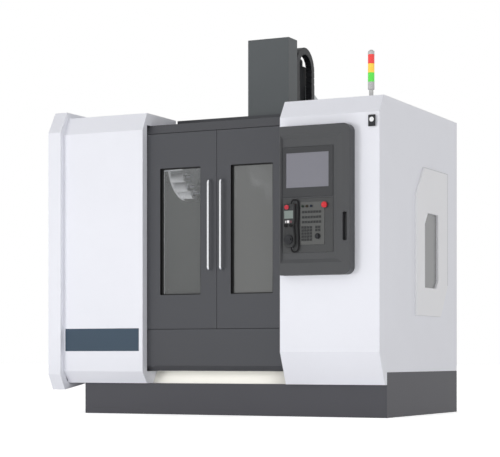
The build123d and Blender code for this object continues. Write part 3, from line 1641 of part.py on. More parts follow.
# Handwheel pendant hung on the key module, with its display, stop button and selector knobs
pendant_x = 660
pendant_bottom = 1120
pendant_height = 285
pendant_depth = 34
pendant_top_width = 78
pendant_waist = 62
pendant_back_y = panel_front_face_y - 0.2
pendant_front_y = pendant_back_y - pendant_depth
wheel_z = 1170
wheel_radius = 31
with BuildPart() as pendant:
    with BuildSketch(facing(pendant_back_y)):
        with BuildLine():
            Polyline(
                (pendant_x - pendant_top_width / 2, pendant_bottom + pendant_height),
                (pendant_x - pendant_top_width / 2, pendant_bottom + pendant_height - 110),
                (pendant_x - pendant_waist / 2, pendant_bottom + pendant_height - 150),
                (pendant_x - pendant_top_width / 2, wheel_z + 20),
                (pendant_x - pendant_top_width / 2, pendant_bottom + 20),
                (pendant_x - pendant_top_width / 2 + 16, pendant_bottom),
                (pendant_x + pendant_top_width / 2 - 16, pendant_bottom),
                (pendant_x + pendant_top_width / 2, pendant_bottom + 20),
                (pendant_x + pendant_top_width / 2, wheel_z + 20),
                (pendant_x + pendant_waist / 2, pendant_bottom + pendant_height - 150),
                (pendant_x + pendant_top_width / 2, pendant_bottom + pendant_height - 110),
                (pendant_x + pendant_top_width / 2, pendant_bottom + pendant_height),
                close=True,
            )
        make_face()
    extrude(amount=pendant_depth)
    chamfer(pendant.faces().sort_by(Axis.Y)[0].edges(), 5)
    with BuildSketch(facing(pendant_front_y)):
        with Locations((pendant_x - 12, pendant_bottom + 262)):
            Circle(15)
        with Locations((pendant_x - 19, 1262), (pendant_x + 19, 1262)):
            Circle(11)
    extrude(amount=10)
    with BuildSketch(facing(pendant_front_y)):
        with Locations((pendant_x, wheel_z)):
            Circle(dial_shank + screw_clearance)
    extrude(amount=-14, mode=Mode.SUBTRACT)
pendant.part.label = "pendant"
export_step(pendant.part, "parts/pendant.step")

with BuildPart() as pendant_wheel:
    with BuildSketch(facing(pendant_front_y + 13)):
        with Locations((pendant_x, wheel_z)):
            Circle(dial_shank)
    extrude(amount=18)
    with BuildSketch(facing(pendant_front_y - 1)):
        with Locations((pendant_x, wheel_z)):
            Circle(wheel_radius)
            with PolarLocations(wheel_radius, 20):
                Circle(1.6, mode=Mode.SUBTRACT)
    extrude(amount=10)
    with BuildSketch(facing(pendant_front_y - 11)):
        with Locations((pendant_x + 17, wheel_z)):
            Circle(6)
    extrude(amount=14)
pendant_wheel.part.label = "pendant_wheel"
export_step(pendant_wheel.part, "parts/pendant_wheel.step")

# Pendant cable: out of the pendant's top, down its right side and back in at its foot
cable_diameter = 10
cable_y = panel_front_face_y - 3 - cable_diameter / 2 - 1
pendant_top = pendant_bottom + pendant_height
cable_points = [
    (pendant_x + 14, cable_y - 12, pendant_top),
    (pendant_x + 14, cable_y - 12, pendant_top + 26),
    (pendant_x + 46, cable_y - 6, pendant_top + 26),
    (pendant_x + 50, cable_y, pendant_top - 22),
    (pendant_x + 50, cable_y, pendant_top - 78),
    (pendant_x + 45, cable_y, pendant_top - 130),
    (pendant_x + 49, cable_y, pendant_top - 185),
    (pendant_x + 52, cable_y, pendant_top - 238),
    (pendant_x + 48, cable_y - 4, pendant_bottom - 26),
    (pendant_x + 14, cable_y - 12, pendant_bottom - 30),
    (pendant_x + 14, cable_y - 12, pendant_bottom),
]


def bend_radii(points):
    """Largest even radius for each corner: 0.45 of the shorter run over the tangent of half the turn."""
    radii = []
    for before, here, after in zip(points, points[1:], points[2:]):
        arriving = Vector(*here) - Vector(*before)
        leaving = Vector(*after) - Vector(*here)
        turn = radians(arriving.get_angle(leaving))
        radii.append(0.45 * min(arriving.length, leaving.length) / tan(turn / 2))
    return radii


cable_radii = bend_radii(cable_points)
print("pendant cable radii", [round(radius, 1) for radius in cable_radii])
with BuildPart() as pendant_cable:
    with BuildLine() as cable_path:
        FilletPolyline(*cable_points, radius=cable_radii)
    with BuildSketch(Plane(origin=cable_path.line @ 0, z_dir=cable_path.line % 0)):
        Circle(cable_diameter / 2)
    sweep(path=cable_path.line)
print("pendant cable length", round(sum(edge.length for edge in cable_path.edges()), 1))
pendant_cable.part.label = "pendant_cable"
export_step(pendant_cable.part, "parts/pendant_cable.step")

# Stack light: pole, pale base and cap with three coloured lenses between them
light_x = 1089
light_y = -890
pole_radius = 15
lens_radius = 22
core_radius = 6
lens_height = 60
light_base_bottom = 2177
lens_bottom = 2230
lens_rise = 2410
light_top = 2443
with BuildPart() as stack_light_base:
    with BuildSketch(Plane.XZ.offset(-light_y)):
        with BuildLine():
            Polyline(
                (light_x, enclosure_top),
                (light_x + 35, enclosure_top),
                (light_x + 35, enclosure_top + 6),
                (light_x + pole_radius, enclosure_top + 8),
                (light_x + pole_radius, light_base_bottom),
                (light_x + lens_radius, light_base_bottom + 4),
                (light_x + lens_radius, lens_bottom),
                (light_x + core_radius, lens_bottom),
                (light_x + core_radius, lens_rise + 3),
                (light_x + lens_radius, lens_rise + 3),
                (light_x + lens_radius, light_top - 10),
                (light_x + lens_radius - 10, light_top),
                (light_x, light_top),
                close=True,
            )
        make_face()
    revolve(axis=Axis((light_x, light_y, 0), (0, 0, 1)))
stack_light_base.part.label = "stack_light_base"
export_step(stack_light_base.part, "parts/stack_light_base.step")

with BuildPart() as stack_light_lenses:
    for place in range(3):
        with BuildSketch(level(lens_bottom + fit + place * (lens_height + 1))):
            with Locations((light_x, light_y)):
                Circle(lens_radius)
                Circle(core_radius + fit, mode=Mode.SUBTRACT)
        extrude(amount=lens_height)
stack_light_lenses.part.label = "stack_light_lenses"
export_step(stack_light_lenses.part, "parts/stack_light_lenses.step")

# Electrical cabinet on the column's back, with its drives, ducts, relays, transformer and door hinges
cabinet_front_y = bed_rear_y + fit
cabinet_rear_y = cabinet_front_y + cabinet_depth
cabinet_left = spindle_x - cabinet_width / 2
cabinet_middle_z = cabinet_bottom + cabinet_height / 2
cabinet_floor_y = cabinet_front_y + sheet
drive_depth = 180
drive_width = 110
drive_height = 420
drive_pitch = 150
relay_depth = 70
transformer_width = 260
transformer_height = 240
transformer_depth = 200
hinge_radius = 7.5
hinge_offset = 8
hinge_height = 50
hinge_levels = (cabinet_bottom + 150, cabinet_middle_z, cabinet_bottom + cabinet_height - 250)
door_hinge_x = cabinet_left - hinge_offset
door_hinge_y = cabinet_rear_y + fit + cabinet_door_thickness / 2
with BuildPart() as electrical_cabinet:
    with BuildSketch(facing(cabinet_rear_y)):
        with Locations((spindle_x, cabinet_middle_z)):
            Rectangle(cabinet_width, cabinet_height)
    extrude(amount=cabinet_depth)
    offset(amount=-sheet, openings=electrical_cabinet.faces().sort_by(Axis.Y)[-1])
    with BuildSketch(facing(cabinet_floor_y + drive_depth)):
        with Locations((spindle_x, cabinet_middle_z + 350)):
            with GridLocations(drive_pitch, 0, 4, 1):
                Rectangle(drive_width, drive_height)
    extrude(amount=drive_depth)
    with BuildSketch(facing(cabinet_floor_y + relay_depth)):
        with Locations((spindle_x, cabinet_middle_z + 80), (spindle_x, cabinet_middle_z - 250)):
            Rectangle(cabinet_width - 120, 60)
        with Locations((spindle_x, cabinet_middle_z - 90)):
            with GridLocations(60, 0, 10, 1):
                Rectangle(50, 140)
    extrude(amount=relay_depth)
    with BuildSketch(facing(cabinet_floor_y + transformer_depth)):
        with Locations((spindle_x - 160, cabinet_middle_z - 520)):
            Rectangle(transformer_width, transformer_height)
    extrude(amount=transformer_depth)
    for hinge_z in hinge_levels:
        with BuildSketch(level(hinge_z)):
            with Locations((door_hinge_x, door_hinge_y)):
                Circle(hinge_radius)
            with Locations((cabinet_left - (hinge_offset - fit) / 2 - fit, door_hinge_y - 20)):
                Rectangle(hinge_offset - fit, 40)
            with Locations((cabinet_left - hinge_offset / 2, cabinet_rear_y - 20)):
                Rectangle(hinge_offset, 24)
        extrude(amount=hinge_height)
electrical_cabinet.part.label = "electrical_cabinet"
export_step(electrical_cabinet.part, "parts/electrical_cabinet.step")

# Cabinet door on its hinges, with a louvred vent and the main switch's knob
vent_rows = 8
vent_pitch = 24
vent_width = 260
vent_height = 10
lower_vent_drop = 480
upper_vent_rise = 520
knob_plate_side = 66
knob_z = cabinet_middle_z + 120
with BuildPart() as cabinet_door:
    with BuildSketch(facing(cabinet_rear_y + fit)):
        with Locations((spindle_x, cabinet_middle_z)):
            Rectangle(cabinet_width, cabinet_height)
    extrude(amount=-cabinet_door_thickness)
    chamfer(cabinet_door.faces().sort_by(Axis.Y)[-1].edges(), 3)
    with BuildSketch(facing(cabinet_rear_y + fit + cabinet_door_thickness)):
        with Locations(
            (spindle_x, cabinet_middle_z - lower_vent_drop),
            (spindle_x, cabinet_middle_z + upper_vent_rise),
        ):
            with GridLocations(0, vent_pitch, 1, vent_rows):
                RectangleRounded(vent_width, vent_height, 4)
    extrude(amount=cabinet_door_thickness, mode=Mode.SUBTRACT)
    with BuildSketch(facing(cabinet_rear_y + fit + cabinet_door_thickness - 6)):
        with Locations((spindle_x + cabinet_width / 2 - 90, knob_z)):
            RectangleRounded(knob_plate_side, knob_plate_side, 8)
    extrude(amount=-6, mode=Mode.SUBTRACT)
    with BuildSketch(facing(cabinet_rear_y + fit + cabinet_door_thickness - 6)):
        with Locations((spindle_x + cabinet_width / 2 - 90, knob_z)):
            Rectangle(12, 46)
    extrude(amount=-6)
    for hinge_z in hinge_levels:
        with BuildSketch(level(hinge_z + hinge_height + fit)):
            with Locations((door_hinge_x, door_hinge_y)):
                Circle(hinge_radius)
            with Locations((cabinet_left - hinge_offset / 2 + 1, door_hinge_y)):
                Rectangle(hinge_offset + 2, 6)
        extrude(amount=hinge_height)
cabinet_door.part.label = "cabinet_door"
export_step(cabinet_door.part, "parts/cabinet_door.step")
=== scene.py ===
import json
import math

import bmesh
import bpy
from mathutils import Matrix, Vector


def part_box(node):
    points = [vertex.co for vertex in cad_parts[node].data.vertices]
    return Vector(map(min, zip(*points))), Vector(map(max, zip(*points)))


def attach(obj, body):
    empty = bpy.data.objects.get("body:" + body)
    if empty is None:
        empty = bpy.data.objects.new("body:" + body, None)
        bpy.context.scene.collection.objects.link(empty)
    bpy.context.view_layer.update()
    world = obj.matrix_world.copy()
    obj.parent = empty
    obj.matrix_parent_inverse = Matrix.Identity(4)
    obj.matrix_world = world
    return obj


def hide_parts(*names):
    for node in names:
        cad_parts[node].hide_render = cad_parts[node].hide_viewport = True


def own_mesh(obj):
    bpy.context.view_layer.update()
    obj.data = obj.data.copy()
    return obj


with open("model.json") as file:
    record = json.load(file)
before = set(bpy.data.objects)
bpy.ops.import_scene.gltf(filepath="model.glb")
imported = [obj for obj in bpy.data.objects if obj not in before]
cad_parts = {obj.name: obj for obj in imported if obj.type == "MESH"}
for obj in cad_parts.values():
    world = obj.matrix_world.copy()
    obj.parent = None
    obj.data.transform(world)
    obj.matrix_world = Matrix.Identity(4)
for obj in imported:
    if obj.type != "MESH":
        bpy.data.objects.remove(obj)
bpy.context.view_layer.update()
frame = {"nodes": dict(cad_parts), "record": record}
nodes = frame["nodes"]

# Places on the machine, in metres, worked out from the frame
panel_low, panel_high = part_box("left_front_panel")
left_wall_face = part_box("left_side_wall")[1].x
right_panel_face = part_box("right_front_panel")[0].y
pendant_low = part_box("pendant")[0]
bellows_low, bellows_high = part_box("z_way_cover")
lens_low, lens_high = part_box("stack_light_lenses")


def srgb(red, green, blue):
    """A colour of 0 to 255 in sRGB as the linear RGBA that a shader socket takes."""

    def linear(value):
        value /= 255
        return value / 12.92 if value <= 0.04045 else ((value + 0.055) / 1.055) ** 2.4

    return (linear(red), linear(green), linear(blue), 1)


def new_group(name, inputs, outputs):
    """A shader node group with its sockets, and its input and output nodes."""
    group = bpy.data.node_groups.new(name, "ShaderNodeTree")
    for label, kind, value in inputs:
        socket = group.interface.new_socket(label, in_out="INPUT", socket_type=kind)
        if value is not None:
            socket.default_value = value
    for label, kind in outputs:
        group.interface.new_socket(label, in_out="OUTPUT", socket_type=kind)
    entry = group.nodes.new("NodeGroupInput")
    leave = group.nodes.new("NodeGroupOutput")
    return group, entry, leave


def enamel_grain_group():
    """Orange peel of sprayed enamel, with the sheet's edges rounded over."""
    group, entry, leave = new_group(
        "enamel_grain",
        [
            ("Scale", "NodeSocketFloat", 400),
            ("Depth", "NodeSocketFloat", 0.05),
            ("Edge", "NodeSocketFloat", 0.0015),
        ],
        [("Normal", "NodeSocketVector")],
    )
    place = group.nodes.new("ShaderNodeTexCoord")
    peel = group.nodes.new("ShaderNodeTexNoise")
    peel.inputs["Detail"].default_value = 3
    bump = group.nodes.new("ShaderNodeBump")
    bump.inputs["Distance"].default_value = 0.001
    rounded = group.nodes.new("ShaderNodeBevel")
    rounded.samples = 4
    link = group.links.new
    link(place.outputs["Object"], peel.inputs["Vector"])
    link(entry.outputs["Scale"], peel.inputs["Scale"])
    link(peel.outputs["Fac"], bump.inputs["Height"])
    link(entry.outputs["Depth"], bump.inputs["Strength"])
    link(entry.outputs["Edge"], rounded.inputs["Radius"])
    link(rounded.outputs["Normal"], bump.inputs["Normal"])
    link(bump.outputs["Normal"], leave.inputs["Normal"])
    return group


def tone_shift_group():
    """A colour made a little lighter and darker in soft patches, as handling and dust leave it."""
    group, entry, leave = new_group(
        "tone_shift",
        [
            ("Color", "NodeSocketColor", (0.8, 0.8, 0.8, 1)),
            ("Scale", "NodeSocketFloat", 3),
            ("Amount", "NodeSocketFloat", 0.04),
        ],
        [("Color", "NodeSocketColor"), ("Mask", "NodeSocketFloat")],
    )
    place = group.nodes.new("ShaderNodeTexCoord")
    patches = group.nodes.new("ShaderNodeTexNoise")
    patches.inputs["Detail"].default_value = 5
    patches.inputs["Roughness"].default_value = 0.6
    centred = group.nodes.new("ShaderNodeMath")
    centred.operation = "SUBTRACT"
    centred.inputs[1].default_value = 0.5
    scaled = group.nodes.new("ShaderNodeMath")
    scaled.operation = "MULTIPLY_ADD"
    scaled.inputs[2].default_value = 1
    shifted = group.nodes.new("ShaderNodeHueSaturation")
    link = group.links.new
    link(place.outputs["Object"], patches.inputs["Vector"])
    link(entry.outputs["Scale"], patches.inputs["Scale"])
    link(patches.outputs["Fac"], centred.inputs[0])
    link(centred.outputs["Value"], scaled.inputs[0])
    link(entry.outputs["Amount"], scaled.inputs[1])
    link(scaled.outputs["Value"], shifted.inputs["Value"])
    link(entry.outputs["Color"], shifted.inputs["Color"])
    link(shifted.outputs["Color"], leave.inputs["Color"])
    link(patches.outputs["Fac"], leave.inputs["Mask"])
    return group


def brushed_group():
    """Fine lines of grinding or brushing: a normal and a mask stretched along one axis."""
    group, entry, leave = new_group(
        "brushed_lines",
        [("Stretch", "NodeSocketVector", (1, 60, 60)), ("Depth", "NodeSocketFloat", 0.1)],
        [("Normal", "NodeSocketVector"), ("Mask", "NodeSocketFloat")],
    )
    place = group.nodes.new("ShaderNodeTexCoord")
    stretched = group.nodes.new("ShaderNodeVectorMath")
    stretched.operation = "MULTIPLY"
    lines = group.nodes.new("ShaderNodeTexNoise")
    lines.inputs["Scale"].default_value = 12
    lines.inputs["Detail"].default_value = 4
    bump = group.nodes.new("ShaderNodeBump")
    bump.inputs["Distance"].default_value = 0.0005
    rounded = group.nodes.new("ShaderNodeBevel")
    rounded.samples = 4
    rounded.inputs["Radius"].default_value = 0.001
    link = group.links.new
    link(place.outputs["Object"], stretched.inputs[0])
    link(entry.outputs["Stretch"], stretched.inputs[1])
    link(stretched.outputs["Vector"], lines.inputs["Vector"])
    link(lines.outputs["Fac"], bump.inputs["Height"])
    link(entry.outputs["Depth"], bump.inputs["Strength"])
    link(rounded.outputs["Normal"], bump.inputs["Normal"])
    link(bump.outputs["Normal"], leave.inputs["Normal"])
    link(lines.outputs["Fac"], leave.inputs["Mask"])
    return group


def box_mask_group():
    """1 inside one upright box of the machine and 0 outside it: the mask of a place painted otherwise."""
    group, entry, leave = new_group(
        "box_mask",
        [("Low", "NodeSocketVector", (-1, -1, -1)), ("High", "NodeSocketVector", (1, 1, 1))],
        [("Mask", "NodeSocketFloat")],
    )
    link = group.links.new
    place = group.nodes.new("ShaderNodeTexCoord")
    above = group.nodes.new("ShaderNodeVectorMath")
    above.operation = "SUBTRACT"
    link(place.outputs["Object"], above.inputs[0])
    link(entry.outputs["Low"], above.inputs[1])
    below = group.nodes.new("ShaderNodeVectorMath")
    below.operation = "SUBTRACT"
    link(entry.outputs["High"], below.inputs[0])
    link(place.outputs["Object"], below.inputs[1])
    nearest = group.nodes.new("ShaderNodeVectorMath")
    nearest.operation = "MINIMUM"
    link(above.outputs["Vector"], nearest.inputs[0])
    link(below.outputs["Vector"], nearest.inputs[1])
    split = group.nodes.new("ShaderNodeSeparateXYZ")
    link(nearest.outputs["Vector"], split.inputs["Vector"])
    least = split.outputs["X"]
    for axis in ("Y", "Z"):
        smaller = group.nodes.new("ShaderNodeMath")
        smaller.operation = "MINIMUM"
        link(least, smaller.inputs[0])
        link(split.outputs[axis], smaller.inputs[1])
        least = smaller.outputs["Value"]
    inside = group.nodes.new("ShaderNodeMath")
    inside.operation = "GREATER_THAN"
    inside.inputs[1].default_value = 0
    link(least, inside.inputs[0])
    link(inside.outputs["Value"], leave.inputs["Mask"])
    return group


enamel_grain = enamel_grain_group()
tone_shift = tone_shift_group()
brushed_lines = brushed_group()
box_mask = box_mask_group()


def new_material(name, roughness, metallic=0.0, **sockets):
    """A material with its Principled shader, ready for nodes."""
    material = bpy.data.materials.new(name)
    material.use_nodes = True
    shader = material.node_tree.nodes["Principled BSDF"]
    shader.inputs["Roughness"].default_value = roughness
    shader.inputs["Metallic"].default_value = metallic
    for label, value in sockets.items():
        shader.inputs[label.replace("_", " ")].default_value = value
    return material, shader


def place_group(material, group, **values):
    """A group node in a material, with the values for its sockets."""
    node = material.node_tree.nodes.new("ShaderNodeGroup")
    node.node_tree = group
    for label, value in values.items():
        node.inputs[label].default_value = value
    return node


def enamel(name, colour, roughness, grain=500, depth=0.05, edge=0.0015):
    """Painted sheet, casting or plastic: toned colour, orange peel and rounded edges."""
    material, shader = new_material(name, roughness)
    shader.inputs["Specular IOR Level"].default_value = 0.25
    tone = place_group(material, tone_shift, Color=colour, Scale=2.5, Amount=0.05)
    skin = place_group(material, enamel_grain, Scale=grain, Depth=depth, Edge=edge)
    link = material.node_tree.links.new
    link(tone.outputs["Color"], shader.inputs["Base Color"])
    link(skin.outputs["Normal"], shader.inputs["Normal"])
    return material


def steel(name, colour, roughness, stretch, depth=0.1, amount=0.08):
    """Ground or brushed metal with lines along one axis."""
    material, shader = new_material(name, roughness, metallic=1.0)
    tone = place_group(material, tone_shift, Color=colour, Scale=6, Amount=amount)
    lines = place_group(material, brushed_lines, Stretch=stretch, Depth=depth)
    spread = material.node_tree.nodes.new("ShaderNodeMapRange")
    spread.inputs["To Min"].default_value = roughness - 0.08
    spread.inputs["To Max"].default_value = roughness + 0.1
    link = material.node_tree.links.new
    link(tone.outputs["Color"], shader.inputs["Base Color"])
    link(lines.outputs["Mask"], spread.inputs["Value"])
    link(spread.outputs["Result"], shader.inputs["Roughness"])
    link(lines.outputs["Normal"], shader.inputs["Normal"])
    return material


def paint_where(material, mask, colour, **finish):
    """Another colour where a mask is 1, and there another roughness, metal or alpha."""
    tree = material.node_tree
    link = tree.links.new
    shader = tree.nodes["Principled BSDF"]
    mix = tree.nodes.new("ShaderNodeMix")
    mix.data_type = "RGBA"
    mix.inputs["B"].default_value = colour
    link(mask, mix.inputs["Factor"])
    link(shader.inputs["Base Color"].links[0].from_socket, mix.inputs["A"])
    link(mix.outputs["Result"], shader.inputs["Base Color"])
    for label, value in finish.items():
        socket = shader.inputs[label]
        blend = tree.nodes.new("ShaderNodeMix")
        blend.inputs["B"].default_value = value
        link(mask, blend.inputs["Factor"])
        if socket.is_linked:
            link(socket.links[0].from_socket, blend.inputs["A"])
        else:
            blend.inputs["A"].default_value = socket.default_value
        link(blend.outputs["Result"], socket)


def paint_place(material, low, high, colour, **finish):
    """Another colour and finish inside one upright box of the machine."""
    mask = place_group(material, box_mask, Low=low, High=high)
    paint_where(material, mask.outputs["Mask"], colour, **finish)


def pane(name, tint, roughness, alpha):
    """A tinted pane with a clear gloss, see-through where its alpha is below 1."""
    material, shader = new_material(name, roughness, IOR=1.45)
    tone = place_group(material, tone_shift, Color=tint, Scale=1.5, Amount=0.04)
    material.node_tree.links.new(tone.outputs["Color"], shader.inputs["Base Color"])
    shader.inputs["Alpha"].default_value = alpha
    material.surface_render_method = "BLENDED"
    return material


def coated_cloth(name, colour, thread):
    """Rubber-coated cloth of a folded cover: a fine square weave under a dull skin."""
    material, shader = new_material(name, 0.62)
    tree = material.node_tree
    link = tree.links.new
    tone = place_group(material, tone_shift, Color=colour, Scale=9, Amount=0.14)
    place = tree.nodes.new("ShaderNodeTexCoord")
    weave = tree.nodes.new("ShaderNodeMath")
    weave.operation = "ADD"
    for side, direction in enumerate("XZ"):
        threads = tree.nodes.new("ShaderNodeTexWave")
        threads.bands_direction = direction
        threads.inputs["Scale"].default_value = 1 / thread
        link(place.outputs["Object"], threads.inputs["Vector"])
        link(threads.outputs["Fac"], weave.inputs[side])
    bump = tree.nodes.new("ShaderNodeBump")
    bump.inputs["Strength"].default_value = 0.4
    bump.inputs["Distance"].default_value = 0.0005
    link(tone.outputs["Color"], shader.inputs["Base Color"])
    link(weave.outputs["Value"], bump.inputs["Height"])
    link(bump.outputs["Normal"], shader.inputs["Normal"])
    return material


def lens_stack(name, bottom, top):
    """Three coloured lenses in one column, green below, amber and red above, with moulded ribs."""
    material, shader = new_material(name, 0.18, Coat_Weight=0.3)
    tree = material.node_tree
    place = tree.nodes.new("ShaderNodeTexCoord")
    split = tree.nodes.new("ShaderNodeSeparateXYZ")
    height = tree.nodes.new("ShaderNodeMapRange")
    height.inputs["From Min"].default_value = bottom
    height.inputs["From Max"].default_value = top
    ramp = tree.nodes.new("ShaderNodeValToRGB")
    ramp.color_ramp.interpolation = "CONSTANT"
    ramp.color_ramp.elements[0].color = srgb(88, 222, 70)
    ramp.color_ramp.elements[1].position = 0.667
    ramp.color_ramp.elements[1].color = srgb(232, 62, 58)
    middle = ramp.color_ramp.elements.new(0.333)
    middle.color = srgb(252, 205, 70)
    ribs = tree.nodes.new("ShaderNodeTexWave")
    ribs.bands_direction = "Z"
    ribs.inputs["Scale"].default_value = 60
    bump = tree.nodes.new("ShaderNodeBump")
    bump.inputs["Strength"].default_value = 0.25
    bump.inputs["Distance"].default_value = 0.001
    link = tree.links.new
    link(place.outputs["Object"], split.inputs["Vector"])
    link(split.outputs["Z"], height.inputs["Value"])
    link(height.outputs["Result"], ramp.inputs["Fac"])
    link(ramp.outputs["Color"], shader.inputs["Base Color"])
    link(ramp.outputs["Color"], shader.inputs["Emission Color"])
    link(place.outputs["Object"], ribs.inputs["Vector"])
    link(ribs.outputs["Fac"], bump.inputs["Height"])
    link(bump.outputs["Normal"], shader.inputs["Normal"])
    shader.inputs["Emission Strength"].default_value = 0.25
    return material


# Paints, metals, plastics and panes
white = srgb(240, 241, 248)
charcoal = srgb(80, 81, 85)
rubber_and_shade_black = srgb(24, 24, 25)
knob_black = srgb(12, 12, 13)
machined_grey = srgb(214, 216, 219)
white_enamel = enamel("white_enamel", white, roughness=0.32)
charcoal_enamel = enamel("charcoal_enamel", charcoal, roughness=0.45, grain=700, depth=0.08)
cover_charcoal = enamel("cover_charcoal", srgb(93, 97, 99), roughness=0.45, grain=700, depth=0.08)
plinth_enamel = enamel("plinth_enamel", srgb(83, 83, 88), roughness=0.5, grain=600, depth=0.08)
cream_enamel = enamel("cream_enamel", srgb(240, 238, 230), roughness=0.4)
casting_enamel = enamel(
    "casting_enamel", srgb(200, 204, 208), roughness=0.45, grain=160, depth=0.1, edge=0.003
)
splash_grey = enamel("splash_grey", srgb(104, 105, 106), roughness=0.45)
ground_iron = steel("ground_iron", srgb(172, 174, 176), 0.38, (1, 60, 60))
ground_steel = steel("ground_steel", srgb(190, 192, 195), 0.28, (60, 60, 1))
stainless_cover = steel("stainless_cover", srgb(186, 188, 190), 0.3, (60, 1, 60))
chromed_bar = steel("chromed_bar", srgb(236, 237, 240), 0.16, (60, 60, 2), depth=0.02, amount=0.02)
grey_glass = pane("grey_glass", srgb(150, 151, 152), 0.12, 0.93)
motor_black = enamel("motor_black", srgb(38, 39, 42), roughness=0.5, depth=0.15)
black_plastic = enamel("black_plastic", srgb(42, 43, 46), roughness=0.45, grain=900, depth=0.15, edge=0.0008)
console_plastic = enamel("console_plastic", srgb(80, 81, 83), roughness=0.45, grain=900, depth=0.12)
red_plastic = enamel("red_plastic", srgb(206, 52, 60), roughness=0.25, grain=300, depth=0.03, edge=0.001)
start_cap = enamel("start_cap", srgb(22, 40, 27), roughness=0.3, grain=300, depth=0.03, edge=0.001)
hold_cap = enamel("hold_cap", srgb(44, 36, 20), roughness=0.3, grain=300, depth=0.03, edge=0.001)
coolant_cap = enamel("coolant_cap", srgb(22, 30, 46), roughness=0.3, grain=300, depth=0.03, edge=0.001)
signal_lens = lens_stack("signal_lens", lens_low.z, lens_high.z)
pale_plastic = enamel("pale_plastic", srgb(205, 205, 204), roughness=0.4, edge=0.001)
cable_rubber = enamel("cable_rubber", srgb(20, 20, 22), roughness=0.6, grain=900, depth=0.2)
bellows_cloth = coated_cloth("bellows_cloth", srgb(58, 59, 62), thread=0.004)
cabinet_enamel = enamel("cabinet_enamel", machined_grey, roughness=0.45, grain=260, depth=0.3)
galvanised = steel("galvanised", srgb(176, 180, 182), 0.42, (8, 8, 8), depth=0.2)

# White panel with one plain painted band
band_enamel = enamel("band_enamel", white, roughness=0.32)
band_bottom = 0.441
band_top = 0.600
band_margin = 0.03
flange_clearance = 0.012
paint_place(
    band_enamel,
    (left_wall_face + flange_clearance, panel_low.y - 0.01, band_bottom),
    (panel_high.x - band_margin, panel_low.y + 0.002, band_top),
    srgb(66, 82, 97),
)

# Side window's frame: a more neutral white, with painted shade in a narrow line along its rear and top edges
frame_enamel = enamel("frame_enamel", srgb(243, 243, 246), roughness=0.36)
frame_inside = 1.2
frame_outside = 1.3
frame_rear = 0.132
frame_top = 1.711
for shade_line_front, shade_line_bottom in ((0.119, 0.909), (-0.362, 1.704)):
    # Painted shade: a darker strip along the frame's rear edge and one along its top edge
    paint_place(
        frame_enamel,
        (frame_inside, shade_line_front, shade_line_bottom),
        (frame_outside, frame_rear, frame_top),
        srgb(196, 197, 201),
    )

# Door windows: panes in black rubber, which the doors carry round each opening. The black round each pane
# and on the opening's reveals is partly painted shade of the recess. The panes' grey is painted reflection:
# lighter and more see-through in the left window, darker and less see-through in the right one.
safety_glass = pane("safety_glass", rubber_and_shade_black, 0.5, 1)
door_enamel = enamel("door_enamel", charcoal, roughness=0.45, grain=700, depth=0.08)
opening_bottom = 0.830
opening_top = 1.711
reveal_lip = 0.0015
reveal_front = -1.0595
reveal_back = -1.0375
pane_gasket = 0.008
gasket_left = 0.016
gasket_right = 0.013
# Each window's own grey and alpha on its pane are painted reflection, darker and less see-through in the
# right window
for opening_left, opening_right, pane_painted_grey, pane_alpha in (
    (-0.422, -0.104, srgb(134, 136, 135), 0.28),
    (0.128, 0.446, srgb(122, 123, 122), 0.7),
):
    paint_place(
        safety_glass,
        (opening_left + gasket_left, -2, opening_bottom + pane_gasket),
        (opening_right - gasket_right, 0, opening_top - pane_gasket),
        pane_painted_grey,
        Alpha=pane_alpha,
        Roughness=0.06,
    )
    # Black rubber on the opening's reveals, partly painted shade of the recess
    paint_place(
        door_enamel,
        (opening_left - reveal_lip, reveal_front, opening_bottom - reveal_lip),
        (opening_right + reveal_lip, reveal_back, opening_top + reveal_lip),
        rubber_and_shade_black,
        Roughness=0.6,
    )

# Console screen: a dark bezel with the grey display in it
screen_bezel = enamel("screen_bezel", srgb(65, 66, 68), roughness=0.4, grain=900)
display_left = 0.626
display_bottom = 1.512
display_width = 0.304
display_height = 0.228
display_front = -1.2385
paint_place(
    screen_bezel,
    (display_left, display_front, display_bottom),
    (display_left + display_width, -1.2, display_bottom + display_height),
    srgb(129, 129, 137),
    Roughness=0.3,
)

# Operator panel: a lighter key field, and dark keys that stand out of it
panel_plastic = enamel("panel_plastic", srgb(74, 75, 76), roughness=0.45, grain=900, depth=0.12)
field_left = 0.731
field_right = 0.902
field_bottom = 1.135
field_top = 1.415
keys_front = -1.25
for field_back, field_colour in ((-1.2395, srgb(92, 93, 92)), (-1.2425, srgb(52, 53, 54))):
    paint_place(
        panel_plastic,
        (field_left, keys_front, field_bottom),
        (field_right, field_back, field_top),
        field_colour,
    )

# Pendant: a red stop cap, a pale display plate, white and dull red keys and two black knobs
pendant_plastic = enamel(
    "pendant_plastic", srgb(58, 59, 60), roughness=0.5, grain=900, depth=0.15, edge=0.0008
)
knob_reach = 0.010
face_slack = 0.0005
face_back = pendant_low.y + knob_reach + face_slack
face_front = pendant_low.y + knob_reach - face_slack
for mark_left, mark_right, mark_bottom, mark_top, mark_colour in (
    (0.628, 0.692, 1.308, 1.360, srgb(128, 138, 134)),
    (0.634, 0.643, 1.279, 1.294, srgb(196, 194, 195)),
    (0.648, 0.664, 1.279, 1.296, srgb(246, 242, 243)),
    (0.670, 0.682, 1.279, 1.294, srgb(116, 78, 84)),
):
    paint_place(
        pendant_plastic,
        (mark_left, face_front, mark_bottom),
        (mark_right, face_back, mark_top),
        mark_colour,
    )
for cap_x, cap_z, cap_radius, cap_colour in (
    (0.648, 1.382, 0.015, srgb(186, 56, 68)),
    (0.641, 1.262, 0.011, knob_black),
    (0.679, 1.262, 0.011, knob_black),
):
    cap_half = cap_radius + 0.001
    paint_place(
        pendant_plastic,
        (cap_x - cap_half, pendant_low.y - 0.001, cap_z - cap_half),
        (cap_x + cap_half, face_front, cap_z + cap_half),
        cap_colour,
        Roughness=0.4,
    )

